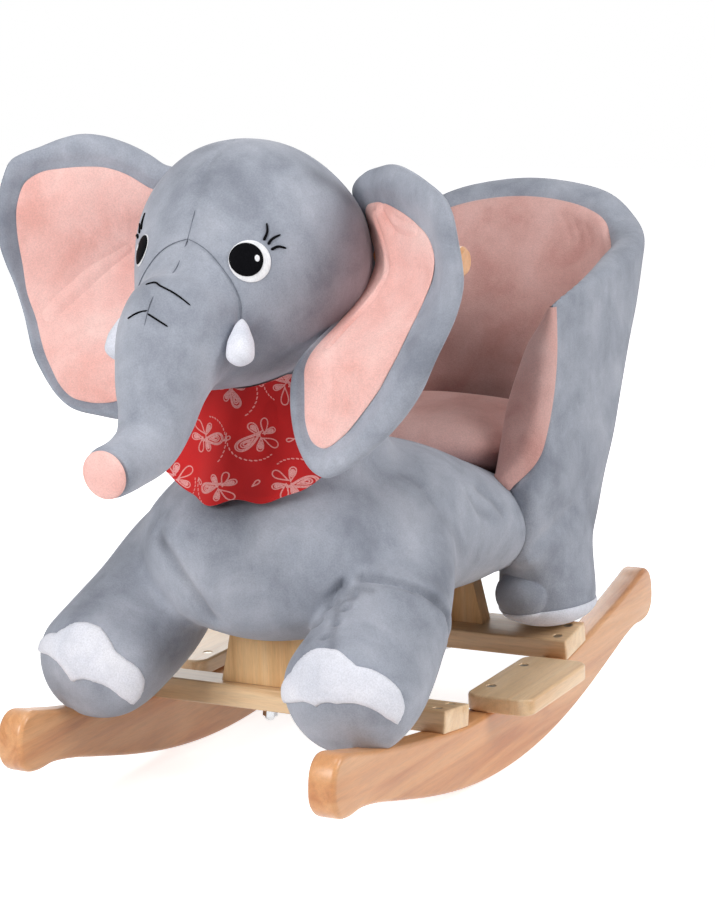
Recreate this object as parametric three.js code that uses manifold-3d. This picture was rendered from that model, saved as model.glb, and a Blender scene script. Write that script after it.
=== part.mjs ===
// Rocking elephant: a stuffed ride-on toy with a bucket seat, carried by a wooden rocker frame.
// Millimetres, +Z up, the toy looks along -Y and its own left side is +X.
import * as THREE from "three";
import { mergeVertices } from "three/addons/utils/BufferGeometryUtils.js";
import Module from "manifold-3d";

const wasm = await Module();
wasm.setup();

// Clearances
const GAP = 0.35;
const SOFT_GAP = 0.5;
const CUT_MARGIN = 4;
const WELD = 0.001;
// Middle of the overall length; every piece is moved so that it becomes the origin
const MIDDLE_Y = 19;

// Rocker boards, one profile for both, symmetric about ROCKER_CENTRE_Y
const ROCKER_OUTER_X = 140;
const ROCKER_THICKNESS = 22;
const ROCKER_CENTRE_Y = 8;
const ROCKER_EDGE_ROUND = 2;
// Half of the profile from the middle to the tip: distance from the middle, height
const ROCKER_BOTTOM = [
  [0, 0],
  [50, 2.1],
  [100, 8.6],
  [150, 19.2],
  [200, 32.6],
  [232, 41.4],
  [258, 46],
  [276, 45.6],
  [289, 48.6],
];
const ROCKER_TOP = [
  [297, 58],
  [298, 72],
  [294, 85],
  [284, 92],
  [262, 87.6],
  [231, 80],
  [178, 69.6],
  [122, 60.4],
  [87, 56.2],
  [50, 54.4],
  [0, 54],
];
const ROCKER_OUTLINE_STEPS = 21;

// Crossbars on the rockers, each tipped with the curve under it
const CROSSBAR_LENGTH = 2 * ROCKER_OUTER_X;
const CROSSBAR_DEPTH = 42;
const CROSSBAR_THICKNESS = 17.5;
const FRONT_BAR = { y: -100, z: 57.9, tilt: -8 };
const REAR_BAR = { y: 130, z: 58.6, tilt: 9 };

// Footrests, level, flush with the rockers' inner faces
const FOOTREST_WIDTH = 56;
const FOOTREST_LENGTH = 117;
const FOOTREST_THICKNESS = 13.3;
const FOOTREST_CENTRE_Y = 16.5;
const FOOTREST_BOTTOM_Z = 54.4;
const FOOTREST_CORNER = 11;
const FOOTREST_ROUND = 1.5;

// Uprights between the crossbars and the seat board
const UPRIGHT_THICKNESS = 16;
const UPRIGHT_BOTTOM_HALF_WIDTH = 62;
const UPRIGHT_TOP_HALF_WIDTH = 41;
const UPRIGHT_BOTTOM_Z = 60;

// Boards inside the stuffing
const SEAT_BOARD_HALF_WIDTH = 58;
const SEAT_BOARD_FRONT_Y = -128;
const SEAT_BOARD_REAR_Y = 232;
const SEAT_BOARD_BOTTOM_Z = 150;
const SEAT_BOARD_THICKNESS = 14;
const NECK_BOARD_THICKNESS = 16;
const NECK_BOARD_FRONT_Y = -142;
const NECK_BOARD_REAR_Y = -58;
const NECK_BOARD_TOP_Z = 432;
const BACK_BOARD_HALF_WIDTH = 76;
const BACK_BOARD_THICKNESS = 12;
const BACK_BOARD_TOP_Z = 392;

// Handle through the head
const HANDLE_RADIUS = 11;
const HANDLE_HALF_LENGTH = 146;
const HANDLE_END_ROUND = 2.5;
const HANDLE_Y = -79;
const HANDLE_Z = 405;
const HANDLE_SIDES = 16;

// Screws and cap bolts
const SCREW_HEAD_RADIUS = 4.6;
const SCREW_HEAD_HEIGHT = 3;
const SCREW_SHANK_RADIUS = 2.2;
const SCREW_RECESS = 0.6;
const SCREW_SIDES = 8;
const BAR_SCREW_LENGTH = 42;
const BAR_SCREW_SPACING = 22;
const FOOTREST_SCREW_LENGTH = 38;
const FOOTREST_SCREW_SPACING = 62;
const BOARD_SCREW_LENGTH = 36;
const UPRIGHT_SCREW_X = 24;
const BACK_SCREW_INSET = 7;
const BOLT_X = 20;
const BOLT_RADIUS = 3;
const BOLT_ABOVE_BAR = 24;
const FLANGE_RADIUS = 7;
const FLANGE_THICKNESS = 1.4;
const CAP_RADIUS = 5.8;
const CAP_HEIGHT = 7;
const CAP_DOME_RADIUS = 4.6;
const HEX_SIDES = 6;

// Body: y, centre z, half width, half height
const TORSO_STATIONS = [
  [-198, 184, 40, 28],
  [-182, 186, 72, 46],
  [-154, 188, 97, 61],
  [-110, 190, 113, 70],
  [-50, 189, 121, 72],
  [0, 187, 123, 70],
  [60, 182, 124, 65],
  [110, 173, 120, 57],
  [160, 165, 103, 49],
  [200, 160, 80, 38],
  [222, 158, 48, 22],
];
const TORSO_FULLNESS = 2.15;
const TORSO_SEGMENTS = [22, 16];
const TORSO_END_SHARE = 0.07;

// Neck, from the back of the body up to the head: y, z, half width, half depth
const NECK_STATIONS = [
  [-84, 205, 84, 76],
  [-92, 250, 80, 72],
  [-97, 300, 74, 68],
  [-100, 350, 66, 60],
];
const NECK_SEGMENTS = [20, 8];
const NECK_END_SHARE = 0.06;

// Head: a ball that swells towards the root of the trunk
const HEAD_CENTRE = [0, -131, 409];
const HEAD_HALF_SIZE = [86, 88, 88];
const CROWN_TIP_SLOPE = 0.14;
const MUZZLE_DIRECTION = [0, -0.907, -0.421];
const MUZZLE_SWELL = 47;
const MUZZLE_SPREAD_DEGREES = 28;
const JAW_DIRECTION = [0, -0.45, -0.89];
const JAW_SWELL = 10;
const JAW_SPREAD_DEGREES = 42;
const HEAD_SEGMENTS = [24, 18];

// Trunk: y, z, radius
const TRUNK_STATIONS = [
  [-214, 392, 43],
  [-242, 365, 43],
  [-257, 339, 37],
  [-267, 316, 29],
  [-282, 300, 23],
  [-308, 291.5, 19],
  [-337, 288, 17.8],
];
const TRUNK_SEGMENTS = [16, 14];
const TRUNK_START_SHARE = 0.1;
const TRUNK_END_SHARE = 0.02;
const TRUNK_TIP_RADIUS = 17.2;
const TRUNK_TIP_CROWN = 5;

// Ears: outlines in the X-Z plane, each hanging a little differently, seen from the front
const LEFT_EAR_OUTLINE = [
  [50, 456],
  [68, 469],
  [89, 474.5],
  [109, 477],
  [128.6, 474.5],
  [148, 468.5],
  [169.6, 460],
  [180, 447.5],
  [185.5, 431],
  [189.5, 416.5],
  [191, 401.5],
  [186.7, 381],
  [177, 356.5],
  [167, 334],
  [153, 314],
  [133, 293],
  [112, 276],
  [95, 266],
  [82, 262],
  [70, 268],
  [62.5, 280.5],
  [58, 298],
  [56, 316],
  [57.5, 331],
  [63, 346],
  [71, 364],
  [76, 386],
  [73, 410],
  [62, 434],
];
const RIGHT_EAR_OUTLINE = [
  [62, 466],
  [80, 471],
  [92.5, 475],
  [101, 483],
  [112.5, 491.5],
  [130, 499],
  [141.5, 500.5],
  [153, 497.5],
  [165, 492.5],
  [174, 489],
  [182, 483.5],
  [187.5, 469],
  [190, 454.5],
  [191, 439.5],
  [191, 424.5],
  [187.5, 405.5],
  [179, 386.5],
  [166.5, 361.5],
  [153.5, 337],
  [145.5, 322],
  [138, 311],
  [126, 301.5],
  [105, 297],
  [86, 294.5],
  [71, 297],
  [62, 306],
  [58, 320],
  [59, 336],
  [64, 350],
  [72, 368],
  [77, 388],
  [76, 412],
  [68, 438],
];
// Where the pink lining is sewn on
const LEFT_LINING_OUTLINE = [
  [72, 444],
  [84, 448.5],
  [101, 448.5],
  [121, 444.5],
  [140, 438],
  [154, 429.5],
  [160.5, 418],
  [159, 404],
  [154, 389.5],
  [149, 371],
  [144, 351],
  [134.5, 332],
  [117.5, 311],
  [100, 293],
  [84.5, 284.5],
  [75.5, 288.5],
  [70, 302.5],
  [69.5, 317],
  [73, 335],
  [79, 352],
  [86, 372],
  [89, 392],
  [86, 412],
  [78, 430],
];
const RIGHT_LINING_OUTLINE = [
  [92, 452],
  [102, 460],
  [113.5, 469.5],
  [125, 475],
  [136.5, 476.5],
  [151, 476],
  [163, 474],
  [173, 466.5],
  [177.5, 453.5],
  [179, 442.5],
  [178.5, 420],
  [172.5, 386.5],
  [157.5, 361.5],
  [143, 337],
  [135.5, 321],
  [125.5, 311],
  [113, 307.5],
  [101, 307],
  [88, 309],
  [77, 315],
  [72, 326],
  [74, 341],
  [82, 362],
  [89, 384],
  [91, 410],
  [88, 434],
];
const EAR_ROOT_X = 84;
const EAR_ROOT_Y = -95;
const EAR_SWEEP_SLOPE = 0.79;
const EAR_BEND_TOP_Z = 410;
const EAR_BEND_HEIGHT = 75;
const EAR_BEND_FORWARD = 89;
const EAR_BEND_SLOPE = 0.1;
const EAR_HALF_THICKNESS = 7.5;
const EAR_SEGMENTS = [28, 8];
const EAR_EDGE_POWER = 0.55;
const EAR_LINING_RISE = 2.6;
const EAR_PRISM_DEPTH = 400;
const EAR_SWING_DEGREES = [0, 6, 12, 18, 25];
const OUTLINE_SAMPLES = 140;

// Face
const EYE_X = 46;
const EYE_Z = 417;
const EYE_RADIUS = 16;
const EYE_HALF_DEPTH = 3.4;
const EYE_SEEK_STEPS = 12;
const EYE_SEGMENTS = [16, 6];
const TUSK_TOP = [47.5, -231, 380];
const TUSK_BOTTOM = [50.5, -242, 349];
const TUSK_RADII = [2.6, 6.2, 9.3, 9.9, 6.6];
const TUSK_SEGMENTS = [12, 8];
const TUSK_END_SHARE = 0.16;

// Front legs: x, y, z, half width, half height
const FRONT_LEG_STATIONS = [
  [76, -60, 199, 38, 40],
  [90, -108, 173, 45, 44],
  [100, -154, 140, 48, 44],
  [106, -194, 115, 51, 45],
  [108, -238, 103, 45, 41],
];
const FRONT_LEG_SEGMENTS = [18, 12];
const FRONT_LEG_START_SHARE = 0.1;
const FRONT_LEG_END_SHARE = 0.17;
const FRONT_TOE_CENTRE = [106, -246, 128];
const FRONT_TOE_HALF_SIZE = [56, 42, 29];
// Hind legs: x, y, z, half width, half depth
const HIND_LEG_STATIONS = [
  [108, 150, 178, 34, 40],
  [109, 148, 150, 35, 44],
  [110, 142, 112, 38, 50],
  [110, 140, 80, 39, 51],
];
const HIND_LEG_SEGMENTS = [18, 8];
const HIND_LEG_START_SHARE = 0.1;
const HIND_LEG_END_SHARE = 0.2;
const HIND_TOE_CENTRE = [118, 128, 82];
const HIND_TOE_HALF_SIZE = [60, 76, 20];
const SKIN_RISE = 1.9;
const SKIN_SEGMENTS = [12, 8];

// Seat shell: outer plan from the left front corner to the middle of the back, at BASE_Z
const SHELL_PLAN = [
  [129, 22],
  [136, 72],
  [137, 115],
  [131, 158],
  [111, 186],
  [75, 198],
  [0, 201],
];
// Height of the rim above each plan point
const SHELL_RIM_Z = [350, 364, 376, 386, 396, 417, 429];
const SHELL_BASE_Z = 84;
const SHELL_BOTTOM_Z = 140;
const SHELL_LEAN_SLOPE = 0.535;
const SHELL_FRONT_TOP_Y = 125;
const SHELL_FRONT_SWEEP = 55;
const SHELL_FRONT_SWEEP_HEIGHT = 141;
const SHELL_FRONT_SHARE = 0.36;
const SHELL_WALL = 28;
const SHELL_THIN_SHARE = 0.6;
const SHELL_THIN_FROM_Z = 250;
const SHELL_THIN_HEIGHT = 100;
const SHELL_RIM_CROWN = 9;
const SHELL_CLEARANCE = 1;
const SHELL_SEGMENTS = [24, 4, 2];
const LINING_THICKNESS = 5;
const LINING_WING_SWELL = 9;
const LINING_BOTTOM_Z = 224;
const LINING_RIM_DROP = 12;
const LINING_FRONT_SETBACK_SHARE = 0.016;
const LINING_SEGMENTS = [22, 3, 1];

// Seat cushion
const CUSHION_CENTRE = [0, 164, 229];
const CUSHION_HALF_SIZE = [102, 78];
const CUSHION_CROWN = 22;
const CUSHION_UNDERSIDE = 34;
const CUSHION_SQUARENESS = 3.6;
const CUSHION_PINCH_SHARE = 0.035;
const CUSHION_SEGMENTS = [28, 10];

// Neckerchief round the front of the neck
const SCARF_CENTRE_Y = -96;
const SCARF_HALF_ANGLE = 80;
const SCARF_TOP_Z = 330;
const SCARF_FRONT_BOTTOM_Z = 238;
const SCARF_SIDE_BOTTOM_Z = 300;
const SCARF_TOP_RADII = [78, 72];
const SCARF_BOTTOM_RADII = [98, 90];
const SCARF_FOLD_DEPTH = 2.2;
const SCARF_FOLDS = 7;
const SCARF_THICKNESS = 2.6;
const SCARF_SEGMENTS = [20, 4, 1];

const X_AXIS = new THREE.Vector3(1, 0, 0);
const HALF = 0.5;

const rubbedWood = new THREE.MeshStandardMaterial({ color: 0xd9ae80, roughness: 0.45, metalness: 0 });
const plainWood = new THREE.MeshStandardMaterial({ color: 0xcfb48c, roughness: 0.7, metalness: 0 });
const steel = new THREE.MeshStandardMaterial({ color: 0xb8babd, roughness: 0.3, metalness: 1 });
const greyPlush = new THREE.MeshStandardMaterial({ color: 0x8f98a3, roughness: 0.95, metalness: 0 });
const pinkPlush = new THREE.MeshStandardMaterial({ color: 0xf2c1b8, roughness: 0.95, metalness: 0 });
const whitePlush = new THREE.MeshStandardMaterial({ color: 0xf1f1f4, roughness: 0.9, metalness: 0 });
const redCotton = new THREE.MeshStandardMaterial({ color: 0xc81a14, roughness: 0.85, metalness: 0 });

// Solids and meshes
function weld(geometry) {
  const bare = geometry.clone();
  bare.deleteAttribute("normal");
  bare.deleteAttribute("uv");
  return mergeVertices(bare, WELD);
}

function solidOf(geometry) {
  const bare = weld(geometry);
  const mesh = new wasm.Mesh({
    numProp: 3,
    vertProperties: new Float32Array(bare.getAttribute("position").array),
    triVerts: new Uint32Array(bare.getIndex().array),
  });
  return new wasm.Manifold(mesh);
}

function geometryOf(solid) {
  const mesh = solid.getMesh();
  const geometry = new THREE.BufferGeometry();
  geometry.setAttribute("position", new THREE.BufferAttribute(new Float32Array(mesh.vertProperties), 3));
  geometry.setIndex(new THREE.BufferAttribute(new Uint32Array(mesh.triVerts), 1));
  return geometry;
}

// Moves every point outwards along the surface normal
function grown(geometry, distance) {
  const bare = weld(geometry);
  bare.computeVertexNormals();
  const position = bare.getAttribute("position");
  const normal = bare.getAttribute("normal");
  for (let i = 0; i < position.count; i += 1) {
    position.setXYZ(
      i,
      position.getX(i) + normal.getX(i) * distance,
      position.getY(i) + normal.getY(i) * distance,
      position.getZ(i) + normal.getZ(i) * distance,
    );
  }
  return bare;
}

function mirrored(geometry) {
  const bare = weld(geometry);
  const position = bare.getAttribute("position");
  for (let i = 0; i < position.count; i += 1) position.setX(i, -position.getX(i));
  const index = bare.getIndex();
  for (let i = 0; i < index.count; i += 3) {
    const first = index.getX(i);
    index.setX(i, index.getX(i + 1));
    index.setX(i + 1, first);
  }
  return bare;
}

function cut(geometry, cutters) {
  let solid = solidOf(geometry);
  for (const cutter of cutters) solid = solid.subtract(solidOf(cutter));
  return geometryOf(solid);
}

const assembly = new THREE.Group();

function add(name, geometry, material) {
  const shaded = weld(geometry).translate(0, -MIDDLE_Y, 0);
  shaded.computeVertexNormals();
  const mesh = new THREE.Mesh(shaded, material);
  mesh.name = name;
  assembly.add(mesh);
}

// A box between two corners, larger by grow on every side
function block(low, high, grow = 0) {
  const size = [0, 1, 2].map((k) => high[k] - low[k] + 2 * grow);
  const middle = [0, 1, 2].map((k) => (high[k] + low[k]) * HALF);
  return new THREE.BoxGeometry(...size).translate(...middle);
}

// Signed power, for rounded-square sections
function power(value, exponent) {
  return Math.sign(value) * Math.abs(value) ** exponent;
}

// A closed form swept along points, with its own half sizes at each of them and rounded ends
function softForm(points, sizes, segments, startShare, endShare, fullness = 2) {
  const path = new THREE.CatmullRomCurve3(points.map((p) => new THREE.Vector3(...p)));
  const size = new THREE.CatmullRomCurve3(sizes.map((s) => new THREE.Vector3(s[0], s[1], 0)));
  const [around, rings] = segments;
  const form = new THREE.SphereGeometry(1, around, rings);
  const position = form.getAttribute("position");
  for (let row = 0; row <= rings; row += 1) {
    const t = (1 - Math.cos((Math.PI * row) / rings)) * HALF;
    const centre = path.getPoint(t);
    const half = size.getPoint(t);
    const tangent = path.getTangent(t);
    const lateral = X_AXIS.clone().addScaledVector(tangent, -tangent.x).normalize();
    const normal = tangent.clone().cross(lateral);
    const fromStart = Math.min(1, t / startShare);
    const fromEnd = Math.min(1, (1 - t) / endShare);
    const round = Math.sqrt(1 - (1 - fromStart) ** 2) * Math.sqrt(1 - (1 - fromEnd) ** 2);
    for (let column = 0; column <= around; column += 1) {
      const angle = (2 * Math.PI * column) / around;
      const across = -power(Math.cos(angle), 2 / fullness) * half.x * round;
      const over = power(Math.sin(angle), 2 / fullness) * half.y * round;
      const point = centre.clone().addScaledVector(lateral, across).addScaledVector(normal, over);
      position.setXYZ(row * (around + 1) + column, point.x, point.y, point.z);
    }
  }
  return weld(form);
}

// Distance from a centre to a closed outline, in a direction
function outlineReach(outline, centre, angle) {
  const dx = Math.cos(angle);
  const dz = Math.sin(angle);
  let reach = 0;
  for (let i = 0; i < outline.length; i += 1) {
    const a = outline[i];
    const b = outline[(i + 1) % outline.length];
    const ax = a[0] - centre[0];
    const az = a[1] - centre[1];
    const ex = b[0] - a[0];
    const ez = b[1] - a[1];
    const det = ex * dz - ez * dx;
    if (det === 0) continue;
    const along = (ex * az - ez * ax) / det;
    const share = (dx * az - dz * ax) / det;
    if (share >= 0 && share <= 1 && along > reach) reach = along;
  }
  return reach;
}

function smoothOutline(outline) {
  const points = outline.map((p) => new THREE.Vector3(p[0], p[1], 0));
  const curve = new THREE.CatmullRomCurve3(points, true);
  return curve.getSpacedPoints(OUTLINE_SAMPLES).map((p) => [p.x, p.y]);
}

// A flat padded form in the X-Z plane: front is towards -Y
function pillow(outline, centre, border, front, back, segments, edgePower) {
  const form = new THREE.SphereGeometry(1, ...segments);
  const position = form.getAttribute("position");
  for (let i = 0; i < position.count; i += 1) {
    const x = position.getX(i);
    const y = position.getY(i);
    const z = position.getZ(i);
    const angle = Math.atan2(z, x);
    const reach = outlineReach(outline, centre, angle) - border(angle);
    const share = Math.hypot(x, z);
    const side = Math.max(0, Math.abs(y)) ** edgePower * (y > 0 ? back : -front);
    const flatX = centre[0] + Math.cos(angle) * reach * share;
    const flatZ = centre[1] + Math.sin(angle) * reach * share;
    position.setXYZ(i, flatX, side, flatZ);
  }
  return weld(form);
}

function move(geometry, place) {
  const position = geometry.getAttribute("position");
  for (let i = 0; i < position.count; i += 1) {
    const moved = place(position.getX(i), position.getY(i), position.getZ(i));
    position.setXYZ(i, ...moved);
  }
  return geometry;
}

function smoothStep(value) {
  const t = Math.min(1, Math.max(0, value));
  return t * t * (3 - 2 * t);
}

// Rocker boards
function rockerProfile() {
  const half = [...ROCKER_BOTTOM, ...ROCKER_TOP];
  const other = half
    .slice(1, -1)
    .reverse()
    .map(([d, z]) => [-d, z]);
  const points = [...half, ...other].map(([d, z]) => new THREE.Vector3(d, z, 0));
  const curve = new THREE.CatmullRomCurve3(points, true);
  const steps = curve.getSpacedPoints(2 * ROCKER_OUTLINE_STEPS).slice(0, -1);
  return new THREE.Shape(steps.map((p) => new THREE.Vector2(p.x, p.y)));
}

function rocker() {
  const board = new THREE.ExtrudeGeometry(rockerProfile(), {
    depth: ROCKER_THICKNESS - 2 * ROCKER_EDGE_ROUND,
    steps: 1,
    bevelEnabled: true,
    bevelThickness: ROCKER_EDGE_ROUND,
    bevelSize: ROCKER_EDGE_ROUND,
    bevelOffset: -ROCKER_EDGE_ROUND,
    bevelSegments: 1,
  });
  // The profile is drawn in X-Y: its X becomes Y and its Y becomes Z
  board.applyMatrix4(new THREE.Matrix4().makeBasis(
    new THREE.Vector3(0, 1, 0),
    new THREE.Vector3(0, 0, 1),
    new THREE.Vector3(1, 0, 0),
  ));
  board.translate(ROCKER_OUTER_X - ROCKER_THICKNESS + ROCKER_EDGE_ROUND, ROCKER_CENTRE_Y, 0);
  return board;
}

// Puts a piece made about the middle of a bar's underside onto that bar
function onBar(geometry, bar) {
  return geometry.rotateX(THREE.MathUtils.degToRad(bar.tilt)).translate(0, bar.y, bar.z);
}

function crossbar(bar, grow = 0) {
  const low = [-CROSSBAR_LENGTH * HALF, -CROSSBAR_DEPTH * HALF, 0];
  const high = [CROSSBAR_LENGTH * HALF, CROSSBAR_DEPTH * HALF, CROSSBAR_THICKNESS];
  return onBar(block(low, high, grow), bar);
}

function footrest(grow = 0) {
  const shape = new THREE.Shape();
  const halfX = FOOTREST_WIDTH * HALF - FOOTREST_ROUND + grow;
  const halfY = FOOTREST_LENGTH * HALF - FOOTREST_ROUND + grow;
  const r = FOOTREST_CORNER;
  shape.moveTo(-halfX + r, -halfY);
  shape.lineTo(halfX - r, -halfY);
  shape.absarc(halfX - r, -halfY + r, r, -Math.PI * HALF, 0);
  shape.lineTo(halfX, halfY - r);
  shape.absarc(halfX - r, halfY - r, r, 0, Math.PI * HALF);
  shape.lineTo(-halfX + r, halfY);
  shape.absarc(-halfX + r, halfY - r, r, Math.PI * HALF, Math.PI);
  shape.lineTo(-halfX, -halfY + r);
  shape.absarc(-halfX + r, -halfY + r, r, Math.PI, 1.5 * Math.PI);
  const board = new THREE.ExtrudeGeometry(shape, {
    depth: FOOTREST_THICKNESS - 2 * FOOTREST_ROUND + 2 * grow,
    curveSegments: 4,
    bevelEnabled: true,
    bevelThickness: FOOTREST_ROUND,
    bevelSize: FOOTREST_ROUND,
    bevelSegments: 1,
  });
  const middleX = ROCKER_OUTER_X - ROCKER_THICKNESS + FOOTREST_WIDTH * HALF;
  return board.translate(middleX, FOOTREST_CENTRE_Y, FOOTREST_BOTTOM_Z + FOOTREST_ROUND - grow);
}

// A countersunk screw that points down from the origin, and the hole that it needs
function screw(length, grow = 0) {
  const head = SCREW_HEAD_RADIUS + grow;
  const shank = SCREW_SHANK_RADIUS + grow;
  const top = grow > 0 ? CUT_MARGIN : -SCREW_RECESS;
  const profile = [
    new THREE.Vector2(0, -length - grow),
    new THREE.Vector2(shank * HALF, -length - grow),
    new THREE.Vector2(shank, -length + shank - grow),
    new THREE.Vector2(shank, -SCREW_HEAD_HEIGHT - SCREW_RECESS - grow),
    new THREE.Vector2(head, -SCREW_RECESS - grow),
    new THREE.Vector2(head, top),
    new THREE.Vector2(0, top),
  ];
  const clean = profile.filter((p, i) => i === 0 || p.distanceTo(profile[i - 1]) > WELD);
  return new THREE.LatheGeometry(clean, SCREW_SIDES).rotateX(Math.PI * HALF);
}

function roundBar(radius, lowZ, highZ, sides) {
  const bar = new THREE.CylinderGeometry(radius, radius, highZ - lowZ, sides);
  return bar.rotateX(Math.PI * HALF).translate(0, 0, (highZ + lowZ) * HALF);
}

// Where the screws of the crossbars, footrests and boards stand
const railX = ROCKER_OUTER_X - ROCKER_THICKNESS * HALF;
const barScrewPlaces = [];
for (const bar of [FRONT_BAR, REAR_BAR]) {
  for (const side of [-1, 1]) {
    for (const end of [-HALF, HALF]) barScrewPlaces.push({ bar, x: side * railX, y: end * BAR_SCREW_SPACING });
  }
}
function barScrew(place, grow = 0) {
  const piece = screw(BAR_SCREW_LENGTH, grow).translate(place.x, place.y, CROSSBAR_THICKNESS);
  return onBar(piece, place.bar);
}
const footrestTopZ = FOOTREST_BOTTOM_Z + FOOTREST_THICKNESS;
const footrestScrewPlaces = [];
for (const side of [-1, 1]) {
  for (const end of [-HALF, HALF]) {
    footrestScrewPlaces.push([side * railX, FOOTREST_CENTRE_Y + end * FOOTREST_SCREW_SPACING, footrestTopZ]);
  }
}
const seatBoardTopZ = SEAT_BOARD_BOTTOM_Z + SEAT_BOARD_THICKNESS;
const seatScrewPlaces = [];
for (const bar of [FRONT_BAR, REAR_BAR]) {
  seatScrewPlaces.push([UPRIGHT_SCREW_X, bar.y, seatBoardTopZ]);
}

// Uprights and the boards inside
function upright(bar) {
  const shape = new THREE.Shape([
    new THREE.Vector2(-UPRIGHT_BOTTOM_HALF_WIDTH, UPRIGHT_BOTTOM_Z),
    new THREE.Vector2(UPRIGHT_BOTTOM_HALF_WIDTH, UPRIGHT_BOTTOM_Z),
    new THREE.Vector2(UPRIGHT_TOP_HALF_WIDTH, SEAT_BOARD_BOTTOM_Z - GAP),
    new THREE.Vector2(-UPRIGHT_TOP_HALF_WIDTH, SEAT_BOARD_BOTTOM_Z - GAP),
  ]);
  const board = new THREE.ExtrudeGeometry(shape, { depth: UPRIGHT_THICKNESS, bevelEnabled: false });
  return board.rotateX(Math.PI * HALF).translate(0, bar.y + UPRIGHT_THICKNESS * HALF, 0);
}

function uprightSpace(bar) {
  const low = [-UPRIGHT_BOTTOM_HALF_WIDTH, bar.y - UPRIGHT_THICKNESS * HALF, UPRIGHT_BOTTOM_Z];
  const high = [UPRIGHT_BOTTOM_HALF_WIDTH, bar.y + UPRIGHT_THICKNESS * HALF, SEAT_BOARD_BOTTOM_Z];
  const taper = (UPRIGHT_BOTTOM_HALF_WIDTH - UPRIGHT_TOP_HALF_WIDTH) / (SEAT_BOARD_BOTTOM_Z - UPRIGHT_BOTTOM_Z);
  const space = block(low, high, GAP);
  return move(space, (x, y, z) => [x * (1 - (taper * (z - UPRIGHT_BOTTOM_Z)) / UPRIGHT_BOTTOM_HALF_WIDTH), y, z]);
}

function seatBoard(grow = 0) {
  const low = [-SEAT_BOARD_HALF_WIDTH, SEAT_BOARD_FRONT_Y, SEAT_BOARD_BOTTOM_Z];
  const high = [SEAT_BOARD_HALF_WIDTH, SEAT_BOARD_REAR_Y, seatBoardTopZ];
  return block(low, high, grow);
}

function neckBoard(grow = 0) {
  const low = [-NECK_BOARD_THICKNESS * HALF, NECK_BOARD_FRONT_Y, seatBoardTopZ + GAP];
  const high = [NECK_BOARD_THICKNESS * HALF, NECK_BOARD_REAR_Y, NECK_BOARD_TOP_Z];
  return block(low, high, grow);
}

const shellAngle = Math.atan(SHELL_LEAN_SLOPE);
const shellRearY = SHELL_PLAN[SHELL_PLAN.length - 1][1];
function backBoard(grow = 0) {
  const rise = (BACK_BOARD_TOP_Z - SEAT_BOARD_BOTTOM_Z) / Math.cos(shellAngle);
  const low = [-BACK_BOARD_HALF_WIDTH, -BACK_BOARD_THICKNESS * HALF, 0];
  const high = [BACK_BOARD_HALF_WIDTH, BACK_BOARD_THICKNESS * HALF, rise];
  const y = shellRearY + SHELL_LEAN_SLOPE * (SEAT_BOARD_BOTTOM_Z - SHELL_BASE_Z) - SHELL_WALL * HALF;
  return block(low, high, grow).rotateX(-shellAngle).translate(0, y, SEAT_BOARD_BOTTOM_Z);
}

function handle(grow = 0) {
  const r = HANDLE_RADIUS + grow;
  const half = HANDLE_HALF_LENGTH + grow;
  const profile = [
    new THREE.Vector2(0, -half),
    new THREE.Vector2(r - HANDLE_END_ROUND, -half),
    new THREE.Vector2(r, -half + HANDLE_END_ROUND),
    new THREE.Vector2(r, half - HANDLE_END_ROUND),
    new THREE.Vector2(r - HANDLE_END_ROUND, half),
    new THREE.Vector2(0, half),
  ];
  const dowel = new THREE.LatheGeometry(profile, HANDLE_SIDES);
  return dowel.rotateZ(Math.PI * HALF).translate(0, HANDLE_Y, HANDLE_Z);
}

// Stuffed forms, before they are cut by one another
const torsoForm = softForm(
  TORSO_STATIONS.map(([y, z]) => [0, y, z]),
  TORSO_STATIONS.map(([, , w, h]) => [w, h]),
  TORSO_SEGMENTS,
  TORSO_END_SHARE,
  TORSO_END_SHARE,
  TORSO_FULLNESS,
);
const neckForm = softForm(
  NECK_STATIONS.map(([y, z]) => [0, y, z]),
  NECK_STATIONS.map(([, , w, d]) => [w, d]),
  NECK_SEGMENTS,
  NECK_END_SHARE,
  NECK_END_SHARE,
);

function swelling(direction, swell, spreadDegrees) {
  const towards = new THREE.Vector3(...direction).normalize();
  return (n) => swell * Math.exp(-((THREE.MathUtils.radToDeg(n.angleTo(towards)) / spreadDegrees) ** 2));
}
const muzzle = swelling(MUZZLE_DIRECTION, MUZZLE_SWELL, MUZZLE_SPREAD_DEGREES);
const jaw = swelling(JAW_DIRECTION, JAW_SWELL, JAW_SPREAD_DEGREES);
function headPoint(direction) {
  const n = direction.clone().normalize();
  const [a, b, c] = HEAD_HALF_SIZE;
  const ball = 1 / Math.hypot(n.x / a, n.y / b, n.z / c);
  const reach = ball + muzzle(n) + jaw(n);
  const out = n.multiplyScalar(reach);
  out.z -= CROWN_TIP_SLOPE * out.y * Math.max(0, out.z / c);
  return out.add(new THREE.Vector3(...HEAD_CENTRE));
}
const headForm = weld(
  move(new THREE.SphereGeometry(1, ...HEAD_SEGMENTS), (x, y, z) => {
    const p = headPoint(new THREE.Vector3(z, x, y));
    return [p.x, p.y, p.z];
  }),
);

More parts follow.
